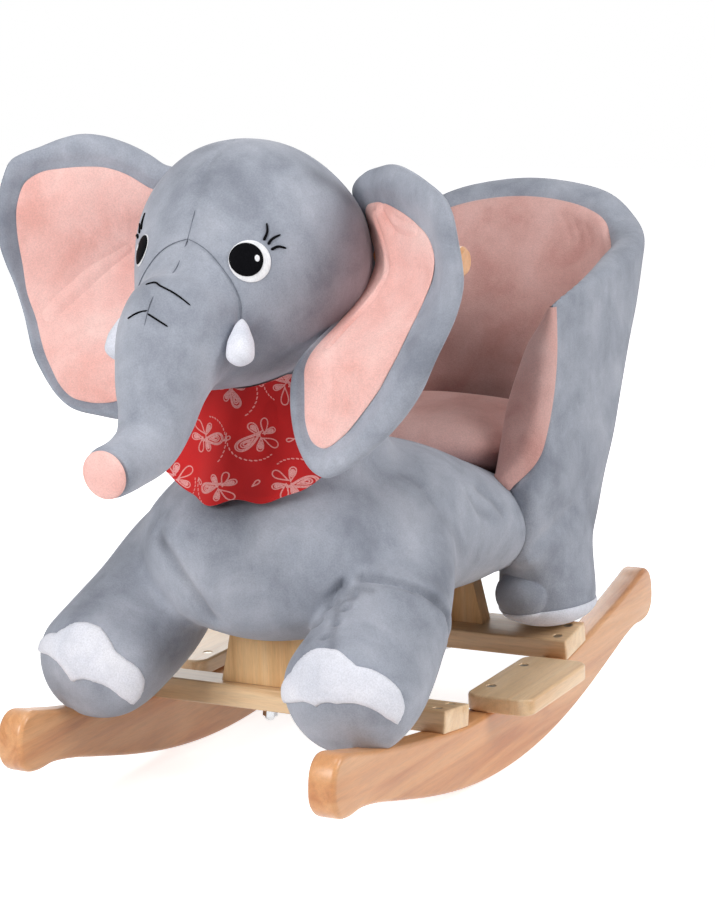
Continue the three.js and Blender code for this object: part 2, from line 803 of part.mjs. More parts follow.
const trunkForm = softForm(
  TRUNK_STATIONS.map(([y, z]) => [0, y, z]),
  TRUNK_STATIONS.map(([, , r]) => [r, r]),
  TRUNK_SEGMENTS,
  TRUNK_START_SHARE,
  TRUNK_END_SHARE,
);
const frontLegForm = softForm(
  FRONT_LEG_STATIONS.map(([x, y, z]) => [x, y, z]),
  FRONT_LEG_STATIONS.map(([, , , w, h]) => [w, h]),
  FRONT_LEG_SEGMENTS,
  FRONT_LEG_START_SHARE,
  FRONT_LEG_END_SHARE,
);
const hindLegForm = softForm(
  HIND_LEG_STATIONS.map(([x, y, z]) => [x, y, z]),
  HIND_LEG_STATIONS.map(([, , , w, d]) => [w, d]),
  HIND_LEG_SEGMENTS,
  HIND_LEG_START_SHARE,
  HIND_LEG_END_SHARE,
);

// Seat shell and its lining: a wall along the plan, leaning back as it rises
const planCurve = new THREE.CatmullRomCurve3([
  ...SHELL_PLAN.map(([x, y], i) => new THREE.Vector3(x, y, SHELL_RIM_Z[i])),
  ...SHELL_PLAN.slice(0, -1)
    .reverse()
    .map(([x, y], i) => new THREE.Vector3(-x, y, SHELL_RIM_Z[SHELL_PLAN.length - 2 - i])),
]);
function wall(nearOffset, farOffset, bottomZ, rimDrop, crown, setback, segments, swell = 0) {
  const form = new THREE.BoxGeometry(1, 1, 1, ...segments);
  return move(form, (bx, by, bz) => {
    const u = setback + (bx + HALF) * (1 - 2 * setback);
    const p = planCurve.getPointAt(u);
    const tangent = planCurve.getTangentAt(u);
    const outward = new THREE.Vector2(tangent.y, -tangent.x).normalize();
    const rim = p.z - rimDrop - crown * (2 * bz) ** 2;
    const z = bottomZ + (by + HALF) * (rim - bottomZ);
    const lean = SHELL_LEAN_SLOPE * (z - SHELL_BASE_Z);
    const below = Math.min(1, (SHELL_RIM_Z[0] - z) / SHELL_FRONT_SWEEP_HEIGHT);
    const front = SHELL_FRONT_TOP_Y - SHELL_FRONT_SWEEP * Math.max(0, below) ** 3 - SHELL_PLAN[0][1];
    const towardsFront = smoothStep(1 - (1 - Math.abs(2 * u - 1)) / SHELL_FRONT_SHARE);
    const shift = lean + (front - lean) * towardsFront;
    const thin = SHELL_THIN_SHARE * towardsFront * smoothStep((z - SHELL_THIN_FROM_Z) / SHELL_THIN_HEIGHT);
    const swollen = farOffset + swell * towardsFront * Math.sin(Math.PI * (by + HALF));
    const offset = (swollen + (bz + HALF) * (nearOffset - swollen)) * (1 - thin);
    return [p.x - outward.x * offset, p.y - outward.y * offset + shift, z];
  });
}
const shellForm = wall(0, SHELL_WALL, SHELL_BOTTOM_Z, 0, SHELL_RIM_CROWN, 0, SHELL_SEGMENTS);

// Openings that the wood makes in the stuffing
const boardSpaces = [
  uprightSpace(FRONT_BAR),
  uprightSpace(REAR_BAR),
  seatBoard(GAP),
  neckBoard(GAP),
];

// Frame
const barSpaces = [crossbar(FRONT_BAR, GAP), crossbar(REAR_BAR, GAP)];
const leftRocker = cut(rocker(), [
  ...barSpaces,
  footrest(GAP),
  ...barScrewPlaces.filter((p) => p.x > 0).map((p) => barScrew(p, GAP)),
  ...footrestScrewPlaces.filter((p) => p[0] > 0).map((p) => screw(FOOTREST_SCREW_LENGTH, GAP).translate(...p)),
]);
add("left_rocker", leftRocker, rubbedWood);
add("right_rocker", mirrored(leftRocker), rubbedWood);

function boltSpace(bar) {
  return [-BOLT_X, BOLT_X].map((x) => {
    const hole = roundBar(BOLT_RADIUS + GAP, -CUT_MARGIN, CROSSBAR_THICKNESS + BOLT_ABOVE_BAR + GAP, SCREW_SIDES);
    return onBar(hole.translate(x, 0, 0), bar);
  });
}
for (const [name, bar] of [["front_crossbar", FRONT_BAR], ["rear_crossbar", REAR_BAR]]) {
  const holes = barScrewPlaces.filter((p) => p.bar === bar).map((p) => barScrew(p, GAP));
  add(name, cut(crossbar(bar), [...holes, ...boltSpace(bar)]), rubbedWood);
}
const leftFootrest = cut(
  footrest(),
  footrestScrewPlaces.filter((p) => p[0] > 0).map((p) => screw(FOOTREST_SCREW_LENGTH, GAP).translate(...p)),
);
add("left_footrest", leftFootrest, rubbedWood);
add("right_footrest", mirrored(leftFootrest), rubbedWood);

for (const [name, bar] of [["front_upright", FRONT_BAR], ["rear_upright", REAR_BAR]]) {
  const holes = seatScrewPlaces.filter((p) => p[1] === bar.y).map((p) => screw(BOARD_SCREW_LENGTH, GAP).translate(...p));
  add(name, cut(upright(bar), [crossbar(bar, GAP), ...boltSpace(bar), ...holes]), rubbedWood);
}

// Screws that rise through the seat board into the neck board and the back board
const neckMiddleY = (NECK_BOARD_FRONT_Y + NECK_BOARD_REAR_Y) * HALF;
const backScrewY = SEAT_BOARD_REAR_Y - BACK_SCREW_INSET;
const risingPlaces = {
  neck_board_screw: [0, neckMiddleY, SEAT_BOARD_BOTTOM_Z],
  back_board_screw: [0, backScrewY, SEAT_BOARD_BOTTOM_Z],
};
function risingScrew(place, grow = 0) {
  return screw(BOARD_SCREW_LENGTH, grow).rotateX(Math.PI).translate(...place);
}
const risingHoles = Object.values(risingPlaces).map((p) => risingScrew(p, GAP));
const seatScrewHoles = seatScrewPlaces.map((p) => screw(BOARD_SCREW_LENGTH, GAP).translate(...p));
add("seat_board", cut(seatBoard(), [...seatScrewHoles, ...risingHoles]), plainWood);
add("neck_board", cut(neckBoard(), [handle(GAP), ...risingHoles]), plainWood);
add("back_board", cut(backBoard(), [seatBoard(GAP), ...risingHoles]), plainWood);
add("handle_dowel", handle(), rubbedWood);

// Fasteners, one solid each
function addEach(name, pieces) {
  pieces.forEach((piece, i) => add(`${name}_${i + 1}`, piece, steel));
}
addEach("crossbar_screw", barScrewPlaces.map((p) => barScrew(p)));
addEach("footrest_screw", footrestScrewPlaces.map((p) => screw(FOOTREST_SCREW_LENGTH).translate(...p)));
addEach("seat_board_screw", seatScrewPlaces.map((p) => screw(BOARD_SCREW_LENGTH).translate(...p)));
for (const [name, place] of Object.entries(risingPlaces)) add(name, risingScrew(place), steel);

// Cap bolt: a domed hexagon head with a flange, screwed up through the bar into the upright
function capBolt() {
  const flange = roundBar(FLANGE_RADIUS, -FLANGE_THICKNESS - GAP, -GAP, SCREW_SIDES);
  const hex = roundBar(CAP_RADIUS, -CAP_HEIGHT, -FLANGE_THICKNESS * HALF, HEX_SIDES);
  const dome = new THREE.SphereGeometry(CAP_DOME_RADIUS, SCREW_SIDES, SCREW_SIDES * HALF).translate(0, 0, -CAP_HEIGHT);
  const shank = roundBar(BOLT_RADIUS, -FLANGE_THICKNESS, CROSSBAR_THICKNESS + BOLT_ABOVE_BAR, SCREW_SIDES);
  return geometryOf(solidOf(flange).add(solidOf(hex)).add(solidOf(dome)).add(solidOf(shank)));
}
const boltPlaces = [FRONT_BAR, REAR_BAR].flatMap((bar) => [-BOLT_X, BOLT_X].map((x) => ({ bar, x })));
addEach("cap_bolt", boltPlaces.map(({ bar, x }) => onBar(capBolt().translate(x, 0, 0), bar)));

// Stuffed body, cut only by the wood that it holds
const fastenerSpaces = [...seatScrewHoles, ...risingHoles];
add("torso", cut(torsoForm, [...boardSpaces, ...fastenerSpaces]), greyPlush);
const torsoSpace = grown(torsoForm, SOFT_GAP);
const headSpace = grown(headForm, SOFT_GAP);
const neckSpace = grown(neckForm, SOFT_GAP);
add("neck", cut(neckForm, [torsoSpace, headSpace, neckBoard(GAP)]), greyPlush);
add("head", cut(headForm, [neckBoard(GAP), handle(GAP)]), greyPlush);
add("trunk", cut(trunkForm, [headSpace]), greyPlush);

// Pink pad that closes the end of the trunk
const [tipY, tipZ] = TRUNK_STATIONS[TRUNK_STATIONS.length - 1];
const [beforeY, beforeZ] = TRUNK_STATIONS[TRUNK_STATIONS.length - 2];
const tipPitch = Math.atan2(beforeZ - tipZ, beforeY - tipY);
const tipPad = new THREE.SphereGeometry(1, ...SKIN_SEGMENTS)
  .scale(TRUNK_TIP_RADIUS, TRUNK_TIP_CROWN, TRUNK_TIP_RADIUS)
  .rotateX(tipPitch)
  .translate(0, tipY, tipZ);
add("trunk_tip", cut(tipPad, [grown(trunkForm, SOFT_GAP)]), pinkPlush);

// Ears
function earFace(x, z) {
  const bend = smoothStep((EAR_BEND_TOP_Z - z) / EAR_BEND_HEIGHT);
  const out = x - EAR_ROOT_X;
  const swept = out * EAR_SWEEP_SLOPE * (1 - bend);
  return EAR_ROOT_Y - swept - bend * (EAR_BEND_FORWARD + out * EAR_BEND_SLOPE);
}
function earPieces(outline, liningOutline) {
  const smooth = smoothOutline(outline);
  const middle = [0, 1].map((k) => smooth.reduce((sum, p) => sum + p[k], 0) / smooth.length);
  const hang = (x, y, z) => [x, y + earFace(x, z), z];
  const none = () => 0;
  const shell = move(
    pillow(smooth, middle, none, EAR_HALF_THICKNESS, EAR_HALF_THICKNESS, EAR_SEGMENTS, EAR_EDGE_POWER),
    hang,
  );
  const sewn = smoothOutline(liningOutline);
  const face = [];
  for (let i = 0; i < EAR_SEGMENTS[0]; i += 1) {
    const [x, z] = sewn[Math.round((i * OUTLINE_SAMPLES) / EAR_SEGMENTS[0])];
    face.push(new THREE.Vector2(x, z));
  }
  const prism = new THREE.ExtrudeGeometry(new THREE.Shape(face), { depth: EAR_PRISM_DEPTH, bevelEnabled: false });
  prism.rotateX(Math.PI * HALF);
  const raised = shell.clone().translate(0, -EAR_LINING_RISE, 0);
  const skin = geometryOf(solidOf(raised).intersect(solidOf(prism)));
  return { shell, lining: cut(skin, [grown(shell, SOFT_GAP)]) };
}
// The neighbours as the ear meets them while it swings back, and as it rests
const earHinge = [-EAR_ROOT_X, -EAR_ROOT_Y, 0];
function metBy(space) {
  return EAR_SWING_DEGREES.map((degrees) =>
    space
      .clone()
      .translate(...earHinge)
      .rotateZ(THREE.MathUtils.degToRad(-degrees))
      .translate(...earHinge.map((value) => -value)),
  );
}
const restCutters = [headSpace, neckSpace, torsoSpace, handle(GAP)];
const earCutters = [...metBy(headSpace), ...metBy(neckSpace), ...metBy(handle(GAP)), torsoSpace];
const leftEar = earPieces(LEFT_EAR_OUTLINE, LEFT_LINING_OUTLINE);
const rightEar = earPieces(RIGHT_EAR_OUTLINE, RIGHT_LINING_OUTLINE);
const rightEarShell = cut(mirrored(cut(rightEar.shell, earCutters)), restCutters);
add("left_ear", cut(leftEar.shell, earCutters), greyPlush);
add("right_ear", rightEarShell, greyPlush);
add("left_ear_lining", cut(leftEar.lining, earCutters), pinkPlush);
add("right_ear_lining", cut(mirrored(cut(rightEar.lining, earCutters)), restCutters), pinkPlush);

// Eyes, sewn flat onto the face
let eyeTowards = new THREE.Vector3(EYE_X, -HEAD_HALF_SIZE[1], EYE_Z - HEAD_CENTRE[2]);
for (let i = 0; i < EYE_SEEK_STEPS; i += 1) {
  const met = headPoint(eyeTowards);
  eyeTowards = eyeTowards.add(new THREE.Vector3(EYE_X - met.x, 0, EYE_Z - met.z));
}
const eyePoint = headPoint(eyeTowards);
const eyeSide = headPoint(eyeTowards.clone().add(new THREE.Vector3(EYE_RADIUS * HALF, 0, 0))).sub(eyePoint);
const eyeRise = headPoint(eyeTowards.clone().add(new THREE.Vector3(0, 0, EYE_RADIUS * HALF))).sub(eyePoint);
const eyeNormal = eyeSide.cross(eyeRise).normalize();
const eyeTurn = new THREE.Quaternion().setFromUnitVectors(new THREE.Vector3(0, 1, 0), eyeNormal);
const eye = new THREE.SphereGeometry(1, ...EYE_SEGMENTS)
  .scale(EYE_RADIUS, EYE_HALF_DEPTH, EYE_RADIUS)
  .applyQuaternion(eyeTurn)
  .translate(eyePoint.x, eyePoint.y, eyePoint.z);
add("left_eye", cut(eye, [headSpace]), whitePlush);
add("right_eye", cut(mirrored(eye), [headSpace]), whitePlush);

// Tusks, stuffed drops sewn beside the trunk
const tuskPoints = TUSK_RADII.map((r, i) => {
  const share = i / (TUSK_RADII.length - 1);
  return TUSK_TOP.map((value, k) => value + (TUSK_BOTTOM[k] - value) * share);
});
const tuskForm = softForm(tuskPoints, TUSK_RADII.map((r) => [r, r]), TUSK_SEGMENTS, TUSK_END_SHARE, TUSK_END_SHARE);
const tuskCutters = [headSpace, grown(trunkForm, SOFT_GAP)];
add("left_tusk", cut(tuskForm, tuskCutters), whitePlush);
add("right_tusk", cut(mirrored(tuskForm), tuskCutters), whitePlush);

// Legs, with the toe patches as thin skins over them
const rockerSpace = grown(leftRocker, SOFT_GAP);
function toePatch(legForm, centre, halfSize, cutters) {
  const region = new THREE.SphereGeometry(1, ...SKIN_SEGMENTS).scale(...halfSize).translate(...centre);
  const skin = solidOf(grown(legForm, SKIN_RISE + SOFT_GAP)).intersect(solidOf(region));
  return cut(geometryOf(skin), [grown(legForm, SOFT_GAP), ...cutters]);
}
const frontLegCutters = [torsoSpace, neckSpace, rockerSpace, ...barSpaces];
const frontLeg = cut(frontLegForm, frontLegCutters);
const frontToes = toePatch(frontLegForm, FRONT_TOE_CENTRE, FRONT_TOE_HALF_SIZE, [rockerSpace]);
const shellSpace = grown(shellForm, SHELL_CLEARANCE);
const hindLegCutters = [torsoSpace, shellSpace, rockerSpace, ...barSpaces, footrest(GAP)];
const hindLeg = cut(hindLegForm, hindLegCutters);
const hindToes = toePatch(hindLegForm, HIND_TOE_CENTRE, HIND_TOE_HALF_SIZE, [
  torsoSpace,
  shellSpace,
  rockerSpace,
  ...barSpaces,
]);
add("left_front_leg", frontLeg, greyPlush);
add("right_front_leg", mirrored(frontLeg), greyPlush);
add("left_front_toes", frontToes, whitePlush);
add("right_front_toes", mirrored(frontToes), whitePlush);
add("left_hind_leg", hindLeg, greyPlush);
add("right_hind_leg", mirrored(hindLeg), greyPlush);
add("left_hind_toes", hindToes, whitePlush);
add("right_hind_toes", mirrored(hindToes), whitePlush);

// Seat
add("seat_shell", cut(shellForm, [torsoSpace, seatBoard(GAP), backBoard(GAP), ...risingHoles]), greyPlush);
const liningForm = wall(
  SHELL_WALL + SOFT_GAP,
  SHELL_WALL + SOFT_GAP + LINING_THICKNESS,
  LINING_BOTTOM_Z,
  LINING_RIM_DROP,
  0,
  LINING_FRONT_SETBACK_SHARE,
  LINING_SEGMENTS,
  LINING_WING_SWELL,
);
add("seat_lining", cut(liningForm, [torsoSpace, grown(shellForm, SOFT_GAP)]), pinkPlush);

function cushionOutline() {
  const points = [];
  for (let i = 0; i < OUTLINE_SAMPLES; i += 1) {
    const angle = (2 * Math.PI * i) / OUTLINE_SAMPLES;
    const pinch = 1 - CUSHION_PINCH_SHARE * Math.cos(2 * angle) ** 2;
    const x = power(Math.cos(angle), 2 / CUSHION_SQUARENESS) * CUSHION_HALF_SIZE[0] * pinch;
    const y = power(Math.sin(angle), 2 / CUSHION_SQUARENESS) * CUSHION_HALF_SIZE[1] * pinch;
    points.push([x, y]);
  }
  return points;
}
const cushionPad = pillow(
  cushionOutline(),
  [0, 0],
  () => 0,
  CUSHION_CROWN,
  CUSHION_UNDERSIDE,
  CUSHION_SEGMENTS,
  EAR_EDGE_POWER,
)
  .rotateX(-Math.PI * HALF)
  .translate(...CUSHION_CENTRE);
add("seat_cushion", cut(cushionPad, [torsoSpace]), pinkPlush);

// Neckerchief
const scarfForm = move(new THREE.BoxGeometry(1, 1, 1, ...SCARF_SEGMENTS), (bx, by, bz) => {
  const turn = 2 * bx;
  const angle = THREE.MathUtils.degToRad(SCARF_HALF_ANGLE * turn);
  const down = HALF - by;
  const bottom = SCARF_FRONT_BOTTOM_Z + (SCARF_SIDE_BOTTOM_Z - SCARF_FRONT_BOTTOM_Z) * turn * turn;
  const z = SCARF_TOP_Z + (bottom - SCARF_TOP_Z) * down;
  const fold = SCARF_FOLD_DEPTH * down * Math.cos(SCARF_FOLDS * angle) + bz * SCARF_THICKNESS;
  const flare = down ** 1.5;
  const radiusX = SCARF_TOP_RADII[0] + (SCARF_BOTTOM_RADII[0] - SCARF_TOP_RADII[0]) * flare + fold;
  const radiusY = SCARF_TOP_RADII[1] + (SCARF_BOTTOM_RADII[1] - SCARF_TOP_RADII[1]) * flare + fold;
  return [radiusX * Math.sin(angle), SCARF_CENTRE_Y - radiusY * Math.cos(angle), z];
});
const earSpaces = [grown(leftEar.shell, SOFT_GAP), grown(mirrored(rightEar.shell), SOFT_GAP)];
add("bandana", cut(scarfForm, [torsoSpace, neckSpace, headSpace, ...earSpaces]), redCotton);

export default assembly;
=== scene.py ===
import math

import bmesh
import bpy
import numpy as np
from mathutils import Matrix, Vector, kdtree, noise
from mathutils.bvhtree import BVHTree


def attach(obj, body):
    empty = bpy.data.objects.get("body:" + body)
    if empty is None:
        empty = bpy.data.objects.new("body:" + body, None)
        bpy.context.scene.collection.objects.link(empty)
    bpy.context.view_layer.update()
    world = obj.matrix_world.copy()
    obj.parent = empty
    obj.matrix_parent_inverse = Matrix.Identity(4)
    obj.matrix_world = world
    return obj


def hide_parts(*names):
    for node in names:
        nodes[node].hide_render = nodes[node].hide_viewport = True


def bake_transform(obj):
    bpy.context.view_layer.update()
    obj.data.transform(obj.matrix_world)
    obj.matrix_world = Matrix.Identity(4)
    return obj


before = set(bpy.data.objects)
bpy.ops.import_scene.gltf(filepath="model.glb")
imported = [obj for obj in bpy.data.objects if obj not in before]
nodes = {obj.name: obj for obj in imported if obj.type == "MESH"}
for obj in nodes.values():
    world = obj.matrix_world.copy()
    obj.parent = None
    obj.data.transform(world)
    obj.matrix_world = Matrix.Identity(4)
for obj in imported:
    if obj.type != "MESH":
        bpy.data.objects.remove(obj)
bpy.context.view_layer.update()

# Lengths are millimetres in the part's own frame, with its middle MIDDLE_Y behind the origin
MM = 0.001
MIDDLE_Y = 19.0
MIDDLE = np.array([0, MIDDLE_Y, 0])
BODY = "frame_and_body"
LEFT_EAR = "left_ear_flap"
RIGHT_EAR = "right_ear_flap"

# Camera, at the photograph's angle
CAMERA_AT = (0.8665, -1.6114, 0.5885)
CAMERA_RIGHT = (0.8835, 0.4674, -0.0309)
CAMERA_UP = (-0.0649, 0.1875, 0.9801)
CAMERA_BACK = (0.4639, -0.8639, 0.196)
LENS = 90.92
SENSOR = 36.0
SHIFT = (-0.0026, 0.0106)
CLIP = (0.05, 50)

scene = bpy.context.scene
scene.view_settings.view_transform = "Standard"


def added(name, data):
    obj = bpy.data.objects.new(name, data)
    scene.collection.objects.link(obj)
    return obj


def add_camera():
    data = bpy.data.cameras.new("camera")
    data.lens, data.sensor_width = LENS, SENSOR
    data.shift_x, data.shift_y = SHIFT
    data.clip_start, data.clip_end = CLIP
    scene.camera = added("camera", data)
    turn = Matrix((CAMERA_RIGHT, CAMERA_UP, CAMERA_BACK)).transposed()
    scene.camera.matrix_world = Matrix.Translation(CAMERA_AT) @ turn.to_4x4()


add_camera()


# Curves and grids
def in_space(points):
    return np.hstack([points, np.zeros((len(points), 1))])


class Curve:
    """A centripetal Catmull-Rom curve through points."""

    def __init__(self, points, closed=False):
        p = np.array(points, float)
        self.p, self.closed = in_space(p) if p.shape[1] == 2 else p, closed
        self.table = None

    def at(self, t):
        t = np.atleast_1d(np.asarray(t, float))
        p, n = self.p, len(self.p)
        s = t * (n if self.closed else n - 1)
        i = np.floor(s).astype(int)
        if self.closed:
            w = (s - i)[:, None]
            p0, p1, p2, p3 = (p[(i + k) % n] for k in (-1, 0, 1, 2))
        else:
            i = np.clip(i, 0, n - 2)
            w = (s - i)[:, None]
            long = np.vstack([2 * p[0] - p[1], p, 2 * p[-1] - p[-2]])
            p0, p1, p2, p3 = (long[i + k] for k in (0, 1, 2, 3))

        def gap(a, b):
            return np.maximum(((b - a) ** 2).sum(1) ** 0.25, 1e-4)[:, None]

        d0, d1, d2 = gap(p0, p1), gap(p1, p2), gap(p2, p3)
        m1 = ((p1 - p0) / d0 - (p2 - p0) / (d0 + d1) + (p2 - p1) / d1) * d1
        m2 = ((p2 - p1) / d1 - (p3 - p1) / (d1 + d2) + (p3 - p2) / d2) * d1
        c2 = -3 * p1 + 3 * p2 - 2 * m1 - m2
        c3 = 2 * p1 - 2 * p2 + m1 + m2
        return p1 + m1 * w + c2 * w**2 + c3 * w**3

    def spaced(self, u):
        if self.table is None:
            ts = np.linspace(0, 1, 801)
            steps = np.linalg.norm(np.diff(self.at(ts), axis=0), axis=1)
            self.table = ts, np.r_[0, np.cumsum(steps)]
        ts, run = self.table
        return self.at(np.interp(np.asarray(u, float) * run[-1], run, ts))


def unit(v):
    return v / np.maximum(np.linalg.norm(v, axis=-1, keepdims=True), 1e-12)


def smoothstep(value):
    t = np.clip(value, 0, 1)
    return t * t * (3 - 2 * t)


def bell(value, width):
    return np.exp(-((value / width) ** 2))


def power(value, exponent):
    return np.sign(value) * np.abs(value) ** exponent


def rounded(value):
    """From 0 to 1 along a quarter circle."""
    return np.sqrt(1 - (1 - np.clip(value, 0, 1)) ** 2)


def turns(count):
    """Angles once round."""
    return 2 * np.pi * np.arange(count) / count


def half_turn(steps):
    return np.pi * np.arange(steps + 1) / steps


def quarter_turn(steps):
    return half_turn(steps) / 2


def ring_faces(rows, columns, first=0):
    """Quads between rings of points, each ring closed on itself."""
    faces = []
    for r in range(rows - 1):
        for c in range(columns):
            d = (c + 1) % columns
            a, b = first + r * columns, first + (r + 1) * columns
            faces.append((a + c, a + d, b + d, b + c))
    return faces


def closed_rings(rings):
    """A closed form from rings whose first and last are single points."""
    rows, columns, _ = rings.shape
    v = np.vstack([rings[0].mean(0), rings[1:-1].reshape(-1, 3), rings[-1].mean(0)])
    faces = ring_faces(rows - 2, columns, 1)
    last, start = len(v) - 1, 1 + (rows - 3) * columns
    for c in range(columns):
        d = (c + 1) % columns
        faces.append((0, 1 + d, 1 + c))
        faces.append((last, start + c, start + d))
    return v, faces


def shell_between(front, back):
    """A closed skin between two open grids of the same shape."""
    rows, columns, _ = front.shape
    n = rows * columns
    v = np.vstack([front.reshape(-1, 3), back.reshape(-1, 3)])
    faces = []
    for r in range(rows - 1):
        for c in range(columns - 1):
            a, b = r * columns + c, (r + 1) * columns + c
            faces.append((a, a + 1, b + 1, b))
            faces.append((n + a, n + b, n + b + 1, n + a + 1))
    edge = [*range(columns)]
    edge += [r * columns + columns - 1 for r in range(1, rows)]
    edge += [(rows - 1) * columns + c for c in range(columns - 2, -1, -1)]
    edge += [r * columns for r in range(rows - 2, 0, -1)]
    for a, b in zip(edge, edge[1:] + edge[:1]):
        faces.append((a, n + a, n + b, b))
    return v, faces


def ways_out(grid):
    """The direction forwards off an open grid, at each of its points."""
    along, down = (unit(np.gradient(grid, axis=axis)) for axis in (1, 0))
    way = unit(np.cross(along, down))
    return -way if way[grid.shape[0] // 2, grid.shape[1] // 2, 1] > 0 else way


def outline_of(places, count):
    """Points evenly spaced along a closed outline in a plane."""
    return Curve(places, closed=True).spaced(np.arange(count) / count)[:, :2]


def closed(rings, distance=0.01):
    return tidy_form(closed_rings(np.array(rings)), distance)


def soft(stations, around, rings, start_share, end_share, fullness=2.0):
    """A closed form swept along stations (place and two half sizes), with round ends."""
    stations = np.array(stations, float)
    path, size = Curve(stations[:, :3]), Curve(stations[:, 3:])
    t = (1 - np.cos(half_turn(rings))) / 2
    eps = 1e-4
    centre, half = path.at(t), size.at(t)
    tangent = unit(path.at(np.minimum(1, t + eps)) - path.at(np.maximum(0, t - eps)))
    lateral = unit(np.array([1.0, 0, 0]) - tangent * tangent[:, :1])
    normal = np.cross(tangent, lateral)
    ends = rounded(t / start_share) * rounded((1 - t) / end_share)
    angle = turns(around)
    across = -power(np.cos(angle), 2 / fullness) * (half[:, 0] * ends)[:, None]
    over = power(np.sin(angle), 2 / fullness) * (half[:, 1] * ends)[:, None]
    spread = lateral[:, None] * across[..., None], normal[:, None] * over[..., None]
    return closed(centre[:, None] + spread[0] + spread[1])


def ball(around, rings):
    """Directions over a sphere, its poles on X."""
    theta, phi = half_turn(rings)[:, None], turns(around)
    flat = np.sin(theta)
    return np.stack([np.cos(theta) * np.ones(around), flat * np.cos(phi), flat * np.sin(phi)], -1)


# Meshes
def as_mesh(form, name="form"):
    v, faces = form
    mesh = bpy.data.meshes.new(name)
    mesh.from_pydata(np.asarray(v, float).tolist(), [], [tuple(int(i) for i in f) for f in faces])
    mesh.update()
    return mesh


def points_of(mesh):
    v = np.empty(len(mesh.vertices) * 3)
    mesh.vertices.foreach_get("co", v)
    return v.reshape(-1, 3)


def form_of(mesh):
    return points_of(mesh), [tuple(p.vertices) for p in mesh.polygons]


def turn_outwards(mesh, distance=None):
    """Turns the faces of a mesh outwards, after joining points within a distance if one is given."""
    work = bmesh.new()
    work.from_mesh(mesh)
    if distance is not None:
        bmesh.ops.remove_doubles(work, verts=work.verts, dist=distance)
        bmesh.ops.dissolve_degenerate(work, edges=work.edges, dist=1e-5)
    bmesh.ops.recalc_face_normals(work, faces=work.faces)
    work.to_mesh(mesh)
    work.free()


def tidy_form(form, distance=0.01):
    mesh = as_mesh(form)
    turn_outwards(mesh, distance)
    made = form_of(mesh)
    bpy.data.meshes.remove(mesh)
    return made


def normals_of(form):
    mesh = as_mesh(form)
    n = np.empty(len(mesh.vertices) * 3, np.float32)
    mesh.vertex_normals.foreach_get("vector", n)
    bpy.data.meshes.remove(mesh)
    return n.reshape(-1, 3).astype(float)


def moved_out(form, push):
    """form with each point moved along its normal."""
    return form[0] + normals_of(form) * np.reshape(push, (-1, 1)), form[1]


def remove(obj):
    mesh = obj.data
    bpy.data.objects.remove(obj)
    bpy.data.meshes.remove(mesh)


def modified(form, kind, **settings):
    obj = added("work", as_mesh(form))
    modifier = obj.modifiers.new("work", kind)
    for key, value in settings.items():
        setattr(modifier, key, value)
    bpy.context.view_layer.update()
    evaluated = obj.evaluated_get(bpy.context.evaluated_depsgraph_get())
    result = bpy.data.meshes.new_from_object(evaluated)
    made = form_of(result)
    bpy.data.meshes.remove(result)
    remove(obj)
    return made


def combined(form, others, operation):
    """form with the others cut away or joined on."""
    for other in others:
        tool = added("tool", as_mesh(other))
        form = modified(form, "BOOLEAN", solver="MANIFOLD", operation=operation, object=tool)
        remove(tool)
    return form


def cut(form, *others):
    return tidy_form(combined(form, others, "DIFFERENCE"), 0.002)


def joined(forms, voxel):
    """One closed skin over forms that run into one another."""
    points, faces, count = [], [], 0
    for v, f in forms:
        points.append(v)
        faces += [tuple(i + count for i in face) for face in f]
        count += len(v)
    return modified((np.vstack(points), faces), "REMESH", mode="VOXEL", voxel_size=voxel)


def mirrored(form):
    v, faces = form
    return v * np.array([-1.0, 1, 1]), [f[::-1] for f in faces]


def smoothed(form, rounds, weight=1.0):
    v, faces = form
    v = v.copy()
    mesh = as_mesh(form)
    e = np.empty(len(mesh.edges) * 2, int)
    mesh.edges.foreach_get("vertices", e)
    bpy.data.meshes.remove(mesh)
    a, b = e[0::2], e[1::2]
    n = len(v)
    count = np.maximum(np.bincount(a, minlength=n) + np.bincount(b, minlength=n), 1)
    w = 0.5 * np.reshape(weight, (-1, 1))
    for _ in range(rounds):
        mean = np.empty_like(v)
        for k in range(3):
            total = np.bincount(a, v[b, k], n) + np.bincount(b, v[a, k], n)
            mean[:, k] = total / count
        v += (mean - v) * w
    return v, faces


def tree_of(form):
    return BVHTree.FromPolygons([Vector(p) for p in form[0]], form[1])


def cast(tree, origin, direction):
    """The nearest point of the surface along a ray, and its normal, or two Nones."""
    hit, normal, _, _ = tree.ray_cast(Vector(origin), Vector(direction).normalized())
    if hit is None:
        return None, None
    if normal.dot(Vector(direction)) > 0:
        normal = -normal
    return np.array(hit), np.array(normal)


def reach_of(v, *forms):
    """Distance from each point to the nearest of several surfaces."""
    trees = [tree_of(form) for form in forms]
    return np.array([min(t.find_nearest(Vector(p))[3] for t in trees) for p in v])


def dense(path, step=0.8):
    curve = Curve(path)
    curve.spaced([0.0])
    count = max(2, int(curve.table[1][-1] / step) + 1)
    return curve.spaced(np.linspace(0, 1, count))


def tree_near(points):
    tree = kdtree.KDTree(len(points))
    for i, p in enumerate(points):
        tree.insert(p, i)
    tree.balance()
    return tree


def distance_to(points, v):
    tree = tree_near(points)
    return np.array([tree.find(p)[2] for p in v])


# Where the skin swells over a fold
FOLD_ABOVE = (0, -3, 9)
FOLD_REACH = 7.5


def creased(form, path, depth, width, swell=0.0, beside=FOLD_ABOVE):
    """A soft groove along a path that lies on the surface, with the skin beside it swelling over."""
    points = dense(path)
    push = -depth * bell(distance_to(points, form[0]), width)
    if swell:
        push += swell * bell(distance_to(points + np.array(beside), form[0]), FOLD_REACH)
    return moved_out(form, push)


